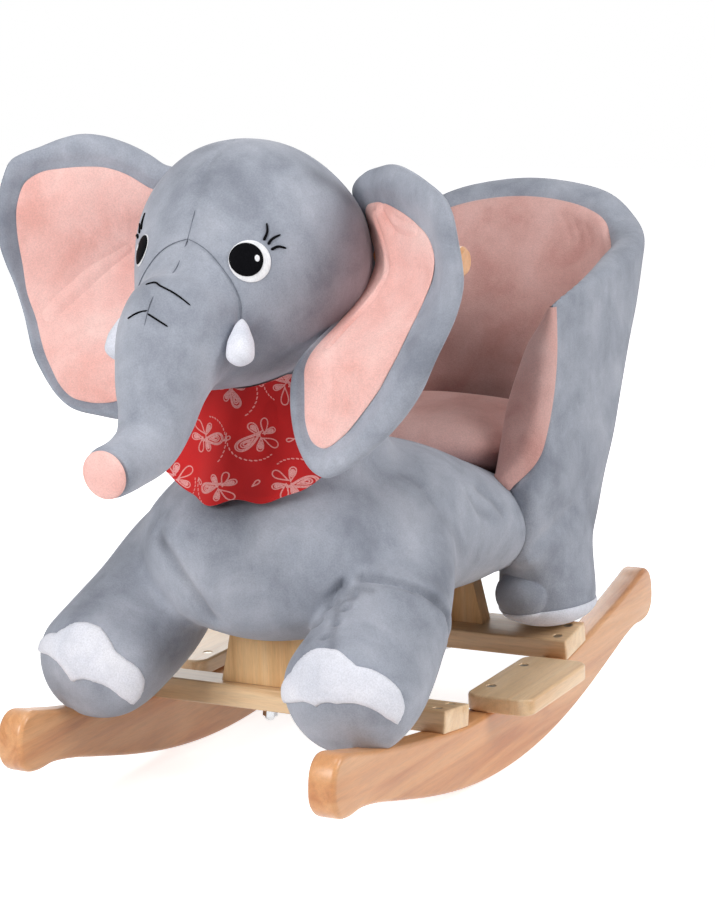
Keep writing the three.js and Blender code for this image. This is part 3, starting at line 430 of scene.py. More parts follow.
def folded(form, tree, folds):
    """form with grooves: where each shows in the photograph, its depth, width and swelling."""
    for places, *shape in folds:
        path = seen_path(tree, places)
        if len(path) > 1:
            form = creased(form, path, *shape)
    return form


def lumpy(form, size, depth, seed, weight=1.0):
    """Uneven stuffing: low swells of a given size."""
    offset = Vector((seed * 7.3, seed * 3.1, seed * 5.7))
    swell = np.array([noise.noise(Vector(p) / size + offset) for p in form[0]])
    return moved_out(form, depth * (swell * weight))


# Materials
def set_inputs(tree, node, inputs):
    """Sets inputs, by name or number, to values or links them to sockets."""
    for key, value in inputs.items():
        if isinstance(value, bpy.types.NodeSocket):
            tree.links.new(value, node.inputs[key])
        else:
            node.inputs[key].default_value = value


def add_node(tree, kind, inputs={}, **settings):
    node = tree.nodes.new(f"ShaderNode{kind}")
    for key, value in settings.items():
        setattr(node, key, value)
    set_inputs(tree, node, inputs)
    return node


def new_material(name):
    material = bpy.data.materials.new(name)
    material.use_nodes = True
    tree = material.node_tree
    tree.nodes.clear()
    shader = add_node(tree, "BsdfPrincipled")
    add_node(tree, "OutputMaterial", {"Surface": shader.outputs["BSDF"]})
    return material, tree, shader


def mapped(tree, scale=(1, 1, 1)):
    place = add_node(tree, "TexCoord").outputs["Object"]
    return add_node(tree, "Mapping", {"Vector": place, "Scale": scale}).outputs["Vector"]


def noise_at(tree, vector, scale, detail=2.0, roughness=0.5, distortion=0.0):
    inputs = {"Scale": scale, "Detail": detail, "Roughness": roughness, "Distortion": distortion}
    return add_node(tree, "TexNoise", {"Vector": vector, **inputs}).outputs["Fac"]


def ramp(tree, value, *stops):
    node = add_node(tree, "ValToRGB", {"Fac": value})
    elements = node.color_ramp.elements
    while len(elements) < len(stops):
        elements.new(0.5)
    for element, (at, colour) in zip(elements, stops):
        element.position, element.color = at, (*colour, 1)
    return node.outputs["Color"]


def mixed(tree, factor, a, b, kind="MIX"):
    return add_node(tree, "Mix", {0: factor, 6: a, 7: b}, data_type="RGBA", blend_type=kind).outputs[2]


def shaded(tree, colour, share, value, first, last, span=(0.3, 0.7)):
    """colour times a grey that runs from first to last as value crosses the span."""
    shade = ramp(tree, value, (span[0], [first] * 3), (span[1], [last] * 3))
    return mixed(tree, share, colour, shade, "MULTIPLY")


def varied(tree, value, low, high):
    return add_node(tree, "MapRange", {"Value": value, "To Min": low, "To Max": high}).outputs["Result"]


def bumped(tree, *heights):
    """The normal after stacked bumps: height socket, strength, distance in metres."""
    normal = None
    for height, strength, distance in heights:
        node = add_node(tree, "Bump", {"Height": height, "Strength": strength, "Distance": distance})
        if normal is not None:
            tree.links.new(normal, node.inputs["Normal"])
        normal = node.outputs["Normal"]
    return normal


def srgb(r, g, b):
    def line(c):
        c /= 255
        return c / 12.92 if c <= 0.04045 else ((c + 0.055) / 1.055) ** 2.4

    return tuple(line(c) for c in (r, g, b))


# How dark the painted shade makes the pile where it is at full strength
PAINTED_SHADE_GREY = 0.26


def plush(name, light, main, dark, patch=0.3, sheen=0.2, sheen_tint=(1, 1, 1)):
    """Short brushed pile: patches where it lies the other way, a fine nap, and painted shade where the
    fold attribute is set.
    """
    material, tree, shader = new_material(name)
    at = mapped(tree)
    patches = noise_at(tree, at, 20, 4, 0.55, 0.35)
    streaks = noise_at(tree, mapped(tree, (1, 1, 0.4)), 95, 4, 0.65, 0.6)
    nap = noise_at(tree, at, 900, 2, 0.6)
    tuft = noise_at(tree, at, 260, 3, 0.65)
    # Painted shade: the fold attribute darkens the pile colour in creases, beside the ear, under the
    # muzzle and deep in the seat
    fold = add_node(tree, "Attribute", attribute_name="fold").outputs["Fac"]
    colour = ramp(tree, patches, (0.3, srgb(*dark)), (0.5, srgb(*main)), (0.72, srgb(*light)))
    colour = shaded(tree, colour, patch, streaks, 0.84, 1.08)
    colour = shaded(tree, colour, 0.55, nap, 0.8, 1.12)
    colour = shaded(tree, colour, 1.0, fold, 1.0, PAINTED_SHADE_GREY, (0.0, 1.0))
    set_inputs(tree, shader, {
        "Base Color": colour,
        "Roughness": 0.95,
        "Specular IOR Level": 0.15,
        "Sheen Weight": sheen,
        "Sheen Roughness": 0.45,
        "Sheen Tint": (*sheen_tint, 1),
        "Normal": bumped(tree, (tuft, 0.25, 0.0012), (nap, 0.35, 0.0006)),
    })
    return material


GREY_PLUSH = plush(
    "grey_plush", (185, 189, 200), (164, 169, 181), (138, 143, 155), 0.4, 0.35, (0.94, 0.94, 1)
)
PINK_PLUSH = plush(
    "pink_plush", (255, 214, 206), (250, 200, 192), (240, 180, 170), sheen_tint=(1, 0.92, 0.9)
)
# The ears' pink made darker for the seat lining and pad: painted shade for the hollow of the seat
SHADED_SEAT_PINK = plush(
    "seat_pink_plush_painted_shade", (230, 189, 183), (223, 177, 170), (210, 158, 150), sheen_tint=(1, 0.94, 0.93)
)
WHITE_PLUSH = plush("white_plush", (246, 246, 252), (236, 237, 246), (218, 221, 232), sheen=0.1)


def wood(name, grain_axis, light, main, dark, roughness=0.38, coat=0.35):
    """Pale varnished board with its grain along one axis."""
    material, tree, shader = new_material(name)
    scale = [1.0, 1.0, 1.0]
    scale[grain_axis] = 0.07
    along = mapped(tree, scale)
    broad = noise_at(tree, along, 42, 3, 0.55, 1.2)
    fine = noise_at(tree, along, 330, 4, 0.65, 0.6)
    pores = noise_at(tree, along, 1300, 2, 0.6)
    patch = noise_at(tree, mapped(tree), 9, 2, 0.5)
    colour = ramp(tree, broad, (0.28, srgb(*dark)), (0.46, srgb(*main)), (0.7, srgb(*light)))
    colour = shaded(tree, colour, 0.35, fine, 0.72, 1.06, (0.32, 0.62))
    colour = shaded(tree, colour, 0.25, pores, 0.7, 1.0, (0.35, 0.55))
    colour = shaded(tree, colour, 0.5, patch, 0.86, 1.06)
    set_inputs(tree, shader, {
        "Base Color": colour,
        "Roughness": varied(tree, fine, roughness - 0.08, roughness + 0.12),
        "Coat Weight": coat,
        "Coat Roughness": 0.22,
        "Normal": bumped(tree, (fine, 0.12, 0.0006), (pores, 0.12, 0.0003)),
    })
    return material


HONEY = (234, 176, 124), (221, 156, 101), (197, 125, 71)
CREAM = (250, 218, 176), (240, 202, 156), (218, 170, 118)
PALE = (244, 208, 158), (234, 190, 136), (212, 162, 108)
VARNISHED_Y = wood("varnished_wood_along_y", 1, *HONEY)
VARNISHED_X = wood("varnished_wood_along_x", 0, *HONEY)
CREAM_X = wood("cream_wood_along_x", 0, *CREAM)
CREAM_Y = wood("cream_wood_along_y", 1, *CREAM)
PLAIN_Z = wood("plain_wood_along_z", 2, *PALE, roughness=0.62, coat=0.0)
PLAIN_Y = wood("plain_wood_along_y", 1, *PALE, roughness=0.62, coat=0.0)


def metal(name, tint, roughness):
    material, tree, shader = new_material(name)
    wear = noise_at(tree, mapped(tree), 320, 3, 0.6)
    brush = noise_at(tree, mapped(tree, (1, 1, 0.1)), 1500, 2, 0.5)
    set_inputs(tree, shader, {
        "Base Color": shaded(tree, (*srgb(*tint), 1), 0.4, wear, 0.7, 1.05),
        "Metallic": 1,
        "Roughness": varied(tree, wear, roughness - 0.06, roughness + 0.12),
        "Normal": bumped(tree, (brush, 0.1, 0.0002)),
    })
    return material


SCREW_STEEL = metal("screw_steel", (196, 190, 178), 0.32)
BOLT_STEEL = metal("bolt_steel", (205, 207, 210), 0.2)


def thread(name, light, dark, sheen=0.1, shine=0.2):
    """Satin stitch or thread."""
    material, tree, shader = new_material(name)
    twist = noise_at(tree, mapped(tree, (1, 1, 0.3)), 1400, 2, 0.6)
    shade = noise_at(tree, mapped(tree), 240, 2, 0.5)
    colour = ramp(tree, twist, (0.3, srgb(*dark)), (0.7, srgb(*light)))
    set_inputs(tree, shader, {
        "Base Color": shaded(tree, colour, 0.4, shade, 0.8, 1.1),
        "Roughness": 0.6,
        "Specular IOR Level": shine,
        "Sheen Weight": sheen,
        "Normal": bumped(tree, (twist, 0.3, 0.0004)),
    })
    return material


BLACK_THREAD = thread("black_thread", (12, 12, 16), (3, 3, 5), sheen=0.0, shine=0.04)
WHITE_THREAD = thread("white_thread", (252, 252, 253), (234, 235, 240))
SEAM_THREAD = thread("seam_thread", (126, 131, 142), (106, 111, 122))


def printed_cotton():
    material, tree, shader = new_material("red_cotton")
    at = mapped(tree)
    tone = noise_at(tree, at, 16, 2, 0.5)
    weave = noise_at(tree, at, 1600, 2, 0.6)
    red = ramp(tree, tone, (0.3, srgb(178, 6, 12)), (0.7, srgb(214, 16, 16)))
    white = ramp(tree, weave, (0.3, srgb(212, 128, 126)), (0.7, srgb(236, 172, 168)))
    drawn = add_node(tree, "Attribute", attribute_name="print").outputs["Fac"]
    mask = ramp(tree, drawn, (0.42, (0, 0, 0)), (0.58, (1, 1, 1)))
    set_inputs(tree, shader, {
        "Base Color": shaded(tree, mixed(tree, mask, red, white), 0.5, weave, 0.84, 1.08),
        "Roughness": 0.85,
        "Sheen Weight": 0.12,
        "Normal": bumped(tree, (weave, 0.25, 0.0003)),
    })
    return material


RED_COTTON = printed_cotton()


# Pieces
def piece(name, form, material, replaces=(), body=BODY, angle=50):
    """A piece of the scene; edges sharper than angle, in degrees, stay sharp."""
    mesh = as_mesh(((form[0] - MIDDLE) * MM, form[1]), name)
    mesh.validate()
    turn_outwards(mesh)
    mesh.polygons.foreach_set("use_smooth", [True] * len(mesh.polygons))
    mesh.set_sharp_from_angle(angle=math.radians(angle))
    mesh.materials.append(material)
    obj = added(name, mesh)
    if body:
        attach(obj, body)
    if replaces:
        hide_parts(*replaces)
    return obj


def add_values(obj, name, values):
    attribute = obj.data.attributes.new(name, "FLOAT", "POINT")
    attribute.data.foreach_set("value", np.asarray(values, np.float32))


def paint_shade(obj, folds):
    """Painted shade in the pile colour, in folds and hollows where shade falls: each as its points,
    width and strength.
    """
    v = points_of(obj.data) / MM + MIDDLE
    tones = [strength * bell(distance_to(points, v), width) for points, width, strength in folds]
    add_values(obj, "fold", np.max(tones, axis=0))


def tube(path, radius, taper, sides=8):
    """A thread along a path, its radius changing to taper times at the far end."""
    points = dense(path, 1.0)
    rings = []
    tangent = unit(np.gradient(points, axis=0))
    up = np.array([0.3, -0.9, 0.2])
    turn = turns(sides)
    for i, (p, t) in enumerate(zip(points, tangent)):
        share = i / (len(points) - 1)
        r = radius * (1 + (taper - 1) * share)
        r *= math.sqrt(max(1e-6, 1 - (2 * abs(share - 0.5)) ** 12))
        side = unit(np.cross(t, up))
        other = np.cross(t, side)
        rings.append(p + r * (np.cos(turn)[:, None] * side + np.sin(turn)[:, None] * other))
    rings = [np.repeat(points[:1], sides, 0), *rings, np.repeat(points[-1:], sides, 0)]
    return closed_rings(np.array(rings))


# Photograph's frame, for folds that are placed by where they show
FRAME_SIZE = (715.0, 922.0)
FOCAL = LENS / SENSOR * FRAME_SIZE[1]
CENTRE_U = FRAME_SIZE[0] / 2 - SHIFT[0] * FRAME_SIZE[1]
CENTRE_V = FRAME_SIZE[1] / 2 + SHIFT[1] * FRAME_SIZE[1]
EYE_POINT = np.array(CAMERA_AT) / MM + MIDDLE


def seen(tree, u, v):
    """The point of a surface that shows at a place of the photograph."""
    way = -np.array(CAMERA_BACK)
    way = way + np.array(CAMERA_RIGHT) * (u - CENTRE_U) / FOCAL
    way = way - np.array(CAMERA_UP) * (v - CENTRE_V) / FOCAL
    return cast(tree, EYE_POINT, way)[0]


def seen_path(tree, places):
    hits = [seen(tree, u, v) for u, v in places]
    return [p for p in hits if p is not None]


# Torso, neck and front legs, sewn as one skin
GAP = 0.3
TORSO = [
    [-198, 184, 40, 28],
    [-182, 186, 72, 46],
    [-154, 188, 97, 61],
    [-110, 190, 113, 70],
    [-50, 193, 121, 76],
    [0, 187.5, 123, 70.5],
    [60, 176.5, 124, 60],
    [110, 165, 120, 49.5],
    [160, 160, 103, 44],
    [200, 158, 80, 36],
    [222, 158, 48, 22],
]
NECK = [
    [-84, 205, 84, 76],
    [-92, 250, 80, 72],
    [-97, 300, 74, 68],
    [-101, 344, 67, 59],
    [-108, 380, 50, 44],
]
LEFT_FRONT_LEG = [
    [82, -60, 199, 38, 40],
    [97, -106, 172, 44, 45],
    [106, -152, 138, 46, 46],
    [107, -193, 114, 51, 46],
    [107, -238, 103, 45, 41],
]
RIGHT_FRONT_LEG = [
    [-78, -60, 197, 38, 42],
    [-91, -106, 170, 45, 47],
    [-100, -151, 136, 48, 48],
    [-106, -192, 115, 50, 45],
    [-108, -237, 107, 44, 39],
]


torso_form = soft([[0, *row] for row in TORSO], 120, 96, 0.07, 0.07, fullness=2.15)
neck_form = soft([[0, *row] for row in NECK], 72, 40, 0.06, 0.06)
front_legs = [soft(stations, 96, 80, 0.1, 0.17) for stations in (LEFT_FRONT_LEG, RIGHT_FRONT_LEG)]

BODY_VOXEL = 2.5
BODY_ROUNDS = 90
# Between these distances from the middle the skin starts to run smoothly into the legs
INNER_X = 86.0
OUTER_X = 116.0
# How wide each joint is smoothed
LEG_BLEND = 30
LEG_BLEND_INSIDE = 4
NECK_BLEND = 16


def body():
    form = joined([torso_form, neck_form, *front_legs], BODY_VOXEL)
    v = form[0]
    to_torso = reach_of(v, torso_form)
    leg_joint = np.maximum(to_torso, reach_of(v, *front_legs))
    neck_joint = np.maximum(to_torso, reach_of(v, neck_form))
    outer = smoothstep((np.abs(v[:, 0]) - INNER_X) / (OUTER_X - INNER_X))
    weight = np.maximum(bell(leg_joint, LEG_BLEND) * outer, 0.5 * bell(leg_joint, LEG_BLEND_INSIDE))
    weight = np.maximum(weight, 0.8 * bell(neck_joint, NECK_BLEND))
    return smoothed(smoothed(form, BODY_ROUNDS, weight), 3)


body_form = lumpy(body(), size=52, depth=1.7, seed=1)
body_tree = tree_of(body_form)
# Folds, where they show in the photograph: round the near leg, and the rest with depth and width
LEG_FOLD = [
    (316, 648), (320, 622), (330, 600), (343, 584), (361, 578), (385, 580), (408, 586), (430, 596),
    (445, 611),
]
LEG_FOLD_SWELL = 3.4
LEG_FOLD_DEPTH = 6.5
LEG_FOLD_WIDTH = 3.2
BODY_FOLDS = [
    ([(345, 594), (358, 588), (372, 590)], 1.6, 2.8),
    ([(336, 608), (344, 600), (353, 598)], 1.4, 2.8),
    ([(338, 602), (335, 622), (331, 648)], 1.0, 2.4),
    ([(157, 534), (168, 555), (184, 580), (198, 600), (211, 618)], 4.0, 6.0),
    ([(470, 496), (479, 511), (490, 517)], 2.2, 4.5),
    ([(478, 489), (493, 501), (503, 513)], 1.8, 4.5),
    ([(404, 474), (421, 486), (434, 503)], 1.6, 6.0),
]
RING_AT = np.array([107.0, -152, 138])
RING_REACH = 66.0


def leg_ring():
    """The fold round the near leg: as it shows, and on round the side that is hidden."""
    w = unit(np.array(LEFT_FRONT_LEG[3][:3], float) - np.array(LEFT_FRONT_LEG[1][:3]))
    side = unit(np.cross(w, [0.0, 0, 1]))
    up = np.cross(side, w)
    away = np.array(seen_path(body_tree, LEG_FOLD)) - RING_AT
    turn = np.arctan2(away @ up, away @ side)
    ring = []
    for a in np.linspace(-np.pi, np.pi, 120):
        at = RING_AT + w * np.interp(a, turn, away @ w, period=2 * np.pi)
        hit, _ = cast(body_tree, at, side * math.cos(a) + up * math.sin(a))
        if hit is not None and np.linalg.norm(hit - at) < RING_REACH:
            ring.append(hit)
    return np.array(ring)


ring = leg_ring()
v = body_form[0]
push = LEG_FOLD_SWELL * bell(distance_to(ring + np.array(FOLD_ABOVE), v), FOLD_REACH)
push -= LEG_FOLD_DEPTH * bell(distance_to(ring, v), LEG_FOLD_WIDTH)
body_form = moved_out(body_form, push)
body_fold_paths = [dense(seen_path(body_tree, places)) for places, *shape in BODY_FOLDS]
for fold_path, (places, *shape) in zip(body_fold_paths, BODY_FOLDS):
    body_form = creased(body_form, fold_path, *shape)
body_form = smoothed(body_form, 1)
body_tree = tree_of(body_form)

# Head and trunk, sewn as one skin
HEAD_CENTRE = np.array([0.0, -131, 409])
HEAD_HALF = np.array([86.0, 88, 88])
CROWN_SLOPE = 0.14
# Swellings: direction, height, spread in degrees
MUZZLE = (unit(np.array([0, -0.907, -0.421])), 47.0, 28.0)
JAW = (unit(np.array([0, -0.45, -0.89])), 3.0, 42.0)
TRUNK = [
    [-214, 392, 43],
    [-243, 365, 41.5],
    [-261, 339, 34],
    [-271, 316, 27],
    [-284, 300, 22.5],
    [-308, 291.5, 19],
    [-337, 288, 17.8],
]
FACE_VOXEL = 2.1
FACE_ROUNDS = 60
TRUNK_BLEND = 22


def head_points(directions):
    n = unit(directions)
    reach = 1 / np.linalg.norm(n / HEAD_HALF, axis=-1)
    for way, height, spread in (MUZZLE, JAW):
        angle = np.degrees(np.arccos(np.clip(n @ way, -1, 1)))
        reach = reach + height * bell(angle, spread)
    out = n * reach[..., None]
    out[..., 2] -= CROWN_SLOPE * out[..., 1] * np.maximum(0, out[..., 2] / HEAD_HALF[2])
    return out + HEAD_CENTRE


def face():
    head = closed(head_points(ball(128, 80)))
    trunk = soft([[0, y, z, r, r] for y, z, r in TRUNK], 72, 72, 0.1, 0.02)
    form = joined([head, trunk], FACE_VOXEL)
    joint = np.maximum(reach_of(form[0], head), reach_of(form[0], trunk))
    return smoothed(smoothed(form, FACE_ROUNDS, bell(joint, TRUNK_BLEND)), 3)


face_form = face()
face_tree = tree_of(face_form)


def met_face(x, z):
    """The point and normal of the face that shows at a place seen from the front."""
    return cast(face_tree, (x, -500, z), (0, 1, 0))


# Seams of the head: down the middle, and round below each eye to the tusk
MIDDLE_SEAM_Z = [497, 485, 470, 452, 433, 415, 396, 380, 360, 340, 322]
TRUNK_SEAM = [(0, -300, 313), (0, -320, 310), (0, -336, 307)]
CHEEK_SEAM = [(0, 433), (10, 430), (20, 424), (30, 414), (38, 403), (43, 390), (43.5, 378)]
middle_seam = [p for p, _ in (met_face(0, z) for z in MIDDLE_SEAM_Z) if p is not None]
middle_seam += [np.array(p, float) for p in TRUNK_SEAM]
cheek_seams = [[met_face(side * x, z)[0] for x, z in CHEEK_SEAM] for side in (1, -1)]
SEAM_DEPTH = 1.1
SEAM_WIDTH = 1.9
for path in (middle_seam, *cheek_seams):
    face_form = creased(face_form, path, SEAM_DEPTH, SEAM_WIDTH)
face_form = lumpy(face_form, size=40, depth=1.0, seed=2)
# Soft hollows in the brow and the cheek
FACE_FOLDS = [
    ([(180, 205), (192, 216), (186, 230)], 1.6, 9.0),
    ([(203, 180), (197, 196), (190, 210)], 1.0, 5.0),
    ([(166, 262), (176, 247), (190, 240)], 1.0, 5.0),
    ([(262, 330), (256, 352), (240, 366)], 1.2, 6.0),
]
face_form = folded(face_form, face_tree, FACE_FOLDS)
face_tree = tree_of(face_form)

# Seat shell and hind legs, sewn as one skin
HIND_LEG = [
    [106, 136, 180, 34, 62],
    [108, 140, 150, 35, 58],
    [110, 141, 112, 38, 53],
    [110, 140, 80, 39, 51],
]
LOBE_AT = np.array([106.0, 100, 112])
LOBE_HALF = np.array([23.5, 21, 21.5])
SHELL_PLAN = [[129, 22], [136, 72], [137, 115], [131, 158], [111, 186], [75, 198], [0, 201]]
SHELL_RIM_Z = [350, 364, 376, 387.5, 400.5, 418, 429]
SHELL_BASE_Z = 84
SHELL_BOTTOM_Z = 140
SHELL_LEAN = 0.535
SHELL_FRONT_TOP_Y = 125
SHELL_SWEEP = 55
SHELL_SWEEP_HEIGHT = 141
SHELL_FRONT_SHARE = 0.36
SHELL_WALL = 28.0
SHELL_THIN_SHARE = 0.5
SHELL_TIP_SHARE = 0.32
SHELL_TIP_FROM_Z = 312
SHELL_TIP_HEIGHT = 36
SHELL_THIN_FROM_Z = 250
SHELL_THIN_HEIGHT = 100
SHELL_CROWN = 11.0
SHELL_PUFF = 2.2
HAUNCH_ROUNDS = 110
EDGE_FORWARD = 7.0
plan = [[x, y, z] for (x, y), z in zip(SHELL_PLAN, SHELL_RIM_Z)]
plan += [[-x, y, z] for x, y, z in plan[-2::-1]]
plan_curve = Curve(plan)


def towards_front(u):
    return smoothstep(1 - (1 - np.abs(2 * u - 1)) / SHELL_FRONT_SHARE)


def wall_points(u, z, offset):
    """Points of the leaning wall: share along the plan, height, distance in from its outside."""
    u, z, offset = np.broadcast_arrays(*(np.asarray(a, float) for a in (u, z, offset)))
    flat, zz = u.ravel(), z.ravel()
    p = plan_curve.spaced(flat)
    eps = 1e-3
    after, before = np.minimum(1, flat + eps), np.maximum(0, flat - eps)
    tangent = unit(plan_curve.spaced(after) - plan_curve.spaced(before))
    outward = unit(np.stack([tangent[:, 1], -tangent[:, 0]], -1))
    lean = SHELL_LEAN * (zz - SHELL_BASE_Z)
    below = np.clip((SHELL_RIM_Z[0] - zz) / SHELL_SWEEP_HEIGHT, 0, 1)
    front = SHELL_FRONT_TOP_Y - SHELL_SWEEP * below**3 - SHELL_PLAN[0][1]
    towards = towards_front(flat)
    shift = lean + (front - lean) * towards
    thin = SHELL_THIN_SHARE * smoothstep((zz - SHELL_THIN_FROM_Z) / SHELL_THIN_HEIGHT)
    thin = towards * (thin + SHELL_TIP_SHARE * smoothstep((zz - SHELL_TIP_FROM_Z) / SHELL_TIP_HEIGHT))
    oo = offset.ravel() * (1 - thin)
    made = np.stack([p[:, 0] - outward[:, 0] * oo, p[:, 1] - outward[:, 1] * oo + shift, zz], -1)
    return made.reshape(*u.shape, 3)


def rim_z(u):
    return plan_curve.spaced(np.ravel(u))[:, 2].reshape(np.shape(u))


def shell():
    u = np.linspace(0, 1, 160)
    rim = rim_z(u) - SHELL_CROWN
    half = SHELL_WALL / 2
    heights = np.linspace(0, 1, 44)
    levels = [SHELL_BOTTOM_Z + (rim - SHELL_BOTTOM_Z) * h for h in heights]
    rows = [(-SHELL_PUFF * math.sin(math.pi * h) ** 0.7, z) for h, z in zip(heights, levels)]
    rows += [(half - half * math.cos(a), rim + SHELL_CROWN * math.sin(a)) for a in half_turn(16)[1:-1]]
    rows += [(SHELL_WALL, z) for z in levels[::-1]]
    rows += [(SHELL_WALL * k / 4, SHELL_BOTTOM_Z) for k in (3, 2, 1)]
    ring = np.array([wall_points(u, z, o) for o, z in rows]).transpose(1, 0, 2)
    # The two front edges close in on the middle of the wall
    ends = []
    for share, edge in ((0.0, ring[0]), (1.0, ring[-1])):
        middle = wall_points(share, edge[:, 2], half)
        ends.append([
            middle + (edge - middle) * math.cos(a) - [0, EDGE_FORWARD * math.sin(a), 0]
            for a in quarter_turn(8)[1:]
        ])
    rings = np.array([*ends[0][::-1], *ring, *ends[1]])
    return closed(np.concatenate([rings[:1], rings, rings[-1:]]), 0.05)


hind_leg = soft(HIND_LEG, 96, 64, 0.1, 0.2)
hind_legs = [hind_leg, mirrored(hind_leg)]


def lobes():
    """The soft ends of the hind feet."""
    lobe = closed(ball(64, 40)[..., [1, 2, 0]] * LOBE_HALF + LOBE_AT)
    return lobe, mirrored(lobe)


def haunch():
    wall = shell()
    form = joined([wall, *hind_legs], BODY_VOXEL)
    joint = np.maximum(reach_of(form[0], wall), reach_of(form[0], *hind_legs))
    form = smoothed(form, HAUNCH_ROUNDS, bell(joint, LEG_BLEND))
    return smoothed(combined(form, lobes(), "UNION"), 2)


haunch_form = haunch()
# Lining of the seat
LINING_BOTTOM_Z = 189.0
LINING_DROP = 15.0
LINING_FRONT_DROP = 4.0
LINING_THICK = 5.0
LINING_WING_SWELL = 9.0
LINING_EDGE_START = 14.0
LINING_EDGE_TURN = 125.0
LINING_ROLL = 3.4
LINING_SLIM_FROM = 0.72
LINING_SLIM = 0.75
LINING_SIDE_ROUND = 9
# Shares of its height over which it is rounded off
LINING_BOTTOM_ROUND = 0.14
LINING_TOP_ROUND = 0.06
LINING_GAP = 0.35


def lining():
    """Pink skin over the inside of the wall and round both of its front edges."""
    turn_steps, inner_steps, rows = 26, 150, 84
    heights = np.linspace(0, 1, rows)
    share = np.linspace(0, 1, turn_steps)
    half = SHELL_WALL / 2
    u = np.r_[np.zeros(turn_steps), np.linspace(0, 1, inner_steps)[1:-1], np.ones(turn_steps)]
    wing = towards_front(u)
    top = rim_z(u) - LINING_DROP - (LINING_FRONT_DROP - LINING_DROP) * wing
    grid = []
    for h in heights:
        # Low on the wing the grey skin comes round the edge
        start = LINING_EDGE_START + LINING_EDGE_TURN * (1 - smoothstep(h / 0.3))
        turn = np.radians(start + (180 - start) * share)
        offset = half - half * np.cos(turn)
        forward = EDGE_FORWARD * np.sin(turn)
        z = LINING_BOTTOM_Z + (top - LINING_BOTTOM_Z) * h
        row = wall_points(u, z, np.r_[offset, np.full(inner_steps - 2, SHELL_WALL), offset[::-1]])
        row[:, 1] -= np.r_[forward, np.zeros(inner_steps - 2), forward[::-1]]
        grid.append(row)
    grid = np.array(grid)
    way = ways_out(grid)
    steps = np.linalg.norm(np.diff(grid, axis=1), axis=2)
    run = np.hstack([np.zeros((rows, 1)), np.cumsum(steps, axis=1)])
    from_side = np.minimum(run, run[:, -1:] - run)
    side = rounded(from_side / LINING_SIDE_ROUND)
    ends = rounded(np.minimum(heights / LINING_BOTTOM_ROUND, (1 - heights) / LINING_TOP_ROUND))
    swell = LINING_WING_SWELL * wing * np.sin(np.pi * heights)[:, None]
    roll = LINING_ROLL * bell(from_side - LINING_SIDE_ROUND, 8)
    high = smoothstep((heights - LINING_SLIM_FROM) / (1 - LINING_SLIM_FROM))
    slim = 1 - wing * high[:, None] * LINING_SLIM
    depth = ends[:, None] * side * slim * (LINING_THICK + swell * smoothstep(from_side / 40) + roll)
    front = grid + way * (LINING_GAP + 0.15 + depth)[..., None]
    return tidy_form(shell_between(front, grid + way * LINING_GAP), 0.02)


lining_form = lining()
from_lining = reach_of(haunch_form[0], lining_form)
haunch_form = lumpy(haunch_form, size=60, depth=1.5, seed=4, weight=smoothstep((from_lining - 6) / 14))
HAUNCH_FOLDS = [
    ([(523, 562), (538, 545), (556, 527), (574, 510)], 3.2, 7.0),
]
haunch_form = folded(haunch_form, tree_of(haunch_form), HAUNCH_FOLDS)
lining_tree = tree_of(lining_form)
LINING_FOLDS = [
    ([(562, 214), (569, 228), (571, 240)], 1.3, 2.2),
    ([(573, 218), (579, 231), (580, 243)], 1.5, 2.2),
    ([(585, 224), (590, 236), (590, 246)], 1.3, 2.2),
    ([(520, 300), (500, 316), (470, 322)], 1.0, 6.0),
]
lining_form = folded(lining_form, lining_tree, LINING_FOLDS)

# Seat cushion
CUSHION_CENTRE = np.array([0, 158, 228.0])
CUSHION_HALF = (102.0, 88.0)
CUSHION_CROWN = 33.0
CUSHION_UNDERSIDE = 34.0
CUSHION_SQUARENESS = 2.7
CUSHION_PINCH = 0.035


def cushion():
    around, rings = 144, 40
    angle = turns(around)
    pinch = 1 - CUSHION_PINCH * np.cos(2 * angle) ** 2
    edge = np.stack([
        power(way, 2 / CUSHION_SQUARENESS) * half * pinch
        for way, half in zip((np.cos(angle), np.sin(angle)), CUSHION_HALF)
    ], -1)
    rows = []
    for a in half_turn(rings):
        share, up = math.sin(a), math.cos(a)
        height = abs(up) ** 0.95 * (CUSHION_CROWN if up > 0 else -CUSHION_UNDERSIDE)
        rows.append(np.hstack([edge * share, np.full((around, 1), height)]) + CUSHION_CENTRE)
    return closed(rows)


cushion_form = lumpy(cushion(), size=50, depth=1.8, seed=5)

# Painted shade in the pile colour: how strong in the folds of the body; elsewhere where, how wide, how
# strong
BODY_FOLD_SHADES = [0.35, 0.35, 0.35, 1.0, 0.25, 0.25, 0.15]
BODY_SHADE_WIDTH = 3.8
RING_SHADE = (4.0, 0.45)
FACE_SHADES = [
    ([(318, 176), (335, 186), (350, 200), (362, 215), (368, 235)], 10.0, 0.5),
    ([(236, 352), (246, 366), (262, 370), (284, 366)], 16.0, 0.5),
]
SEAT_SHADES = [
    ([(446, 350), (462, 366), (480, 380)], 60.0, 0.7),
    ([(446, 390), (470, 392), (494, 394)], 32.0, 0.85),
]


def shaded_at(tree, shades):
    return [(dense(seen_path(tree, places)), *shape) for places, *shape in shades]


# Cut where they meet, a gap apart
body_space = moved_out(body_form, GAP)
face_space = moved_out(face_form, GAP)
body_obj = piece(
    "body_plush",
    cut(body_form, face_space),
    GREY_PLUSH,
    ["torso", "neck", "left_front_leg", "right_front_leg"],
)
body_shades = [(path, BODY_SHADE_WIDTH, tone) for path, tone in zip(body_fold_paths, BODY_FOLD_SHADES)]
# Painted shade in the folds of the body and round the near leg
paint_shade(body_obj, [(ring, *RING_SHADE), *body_shades])
face_obj = piece("head_and_trunk", face_form, GREY_PLUSH, ["head", "trunk"])
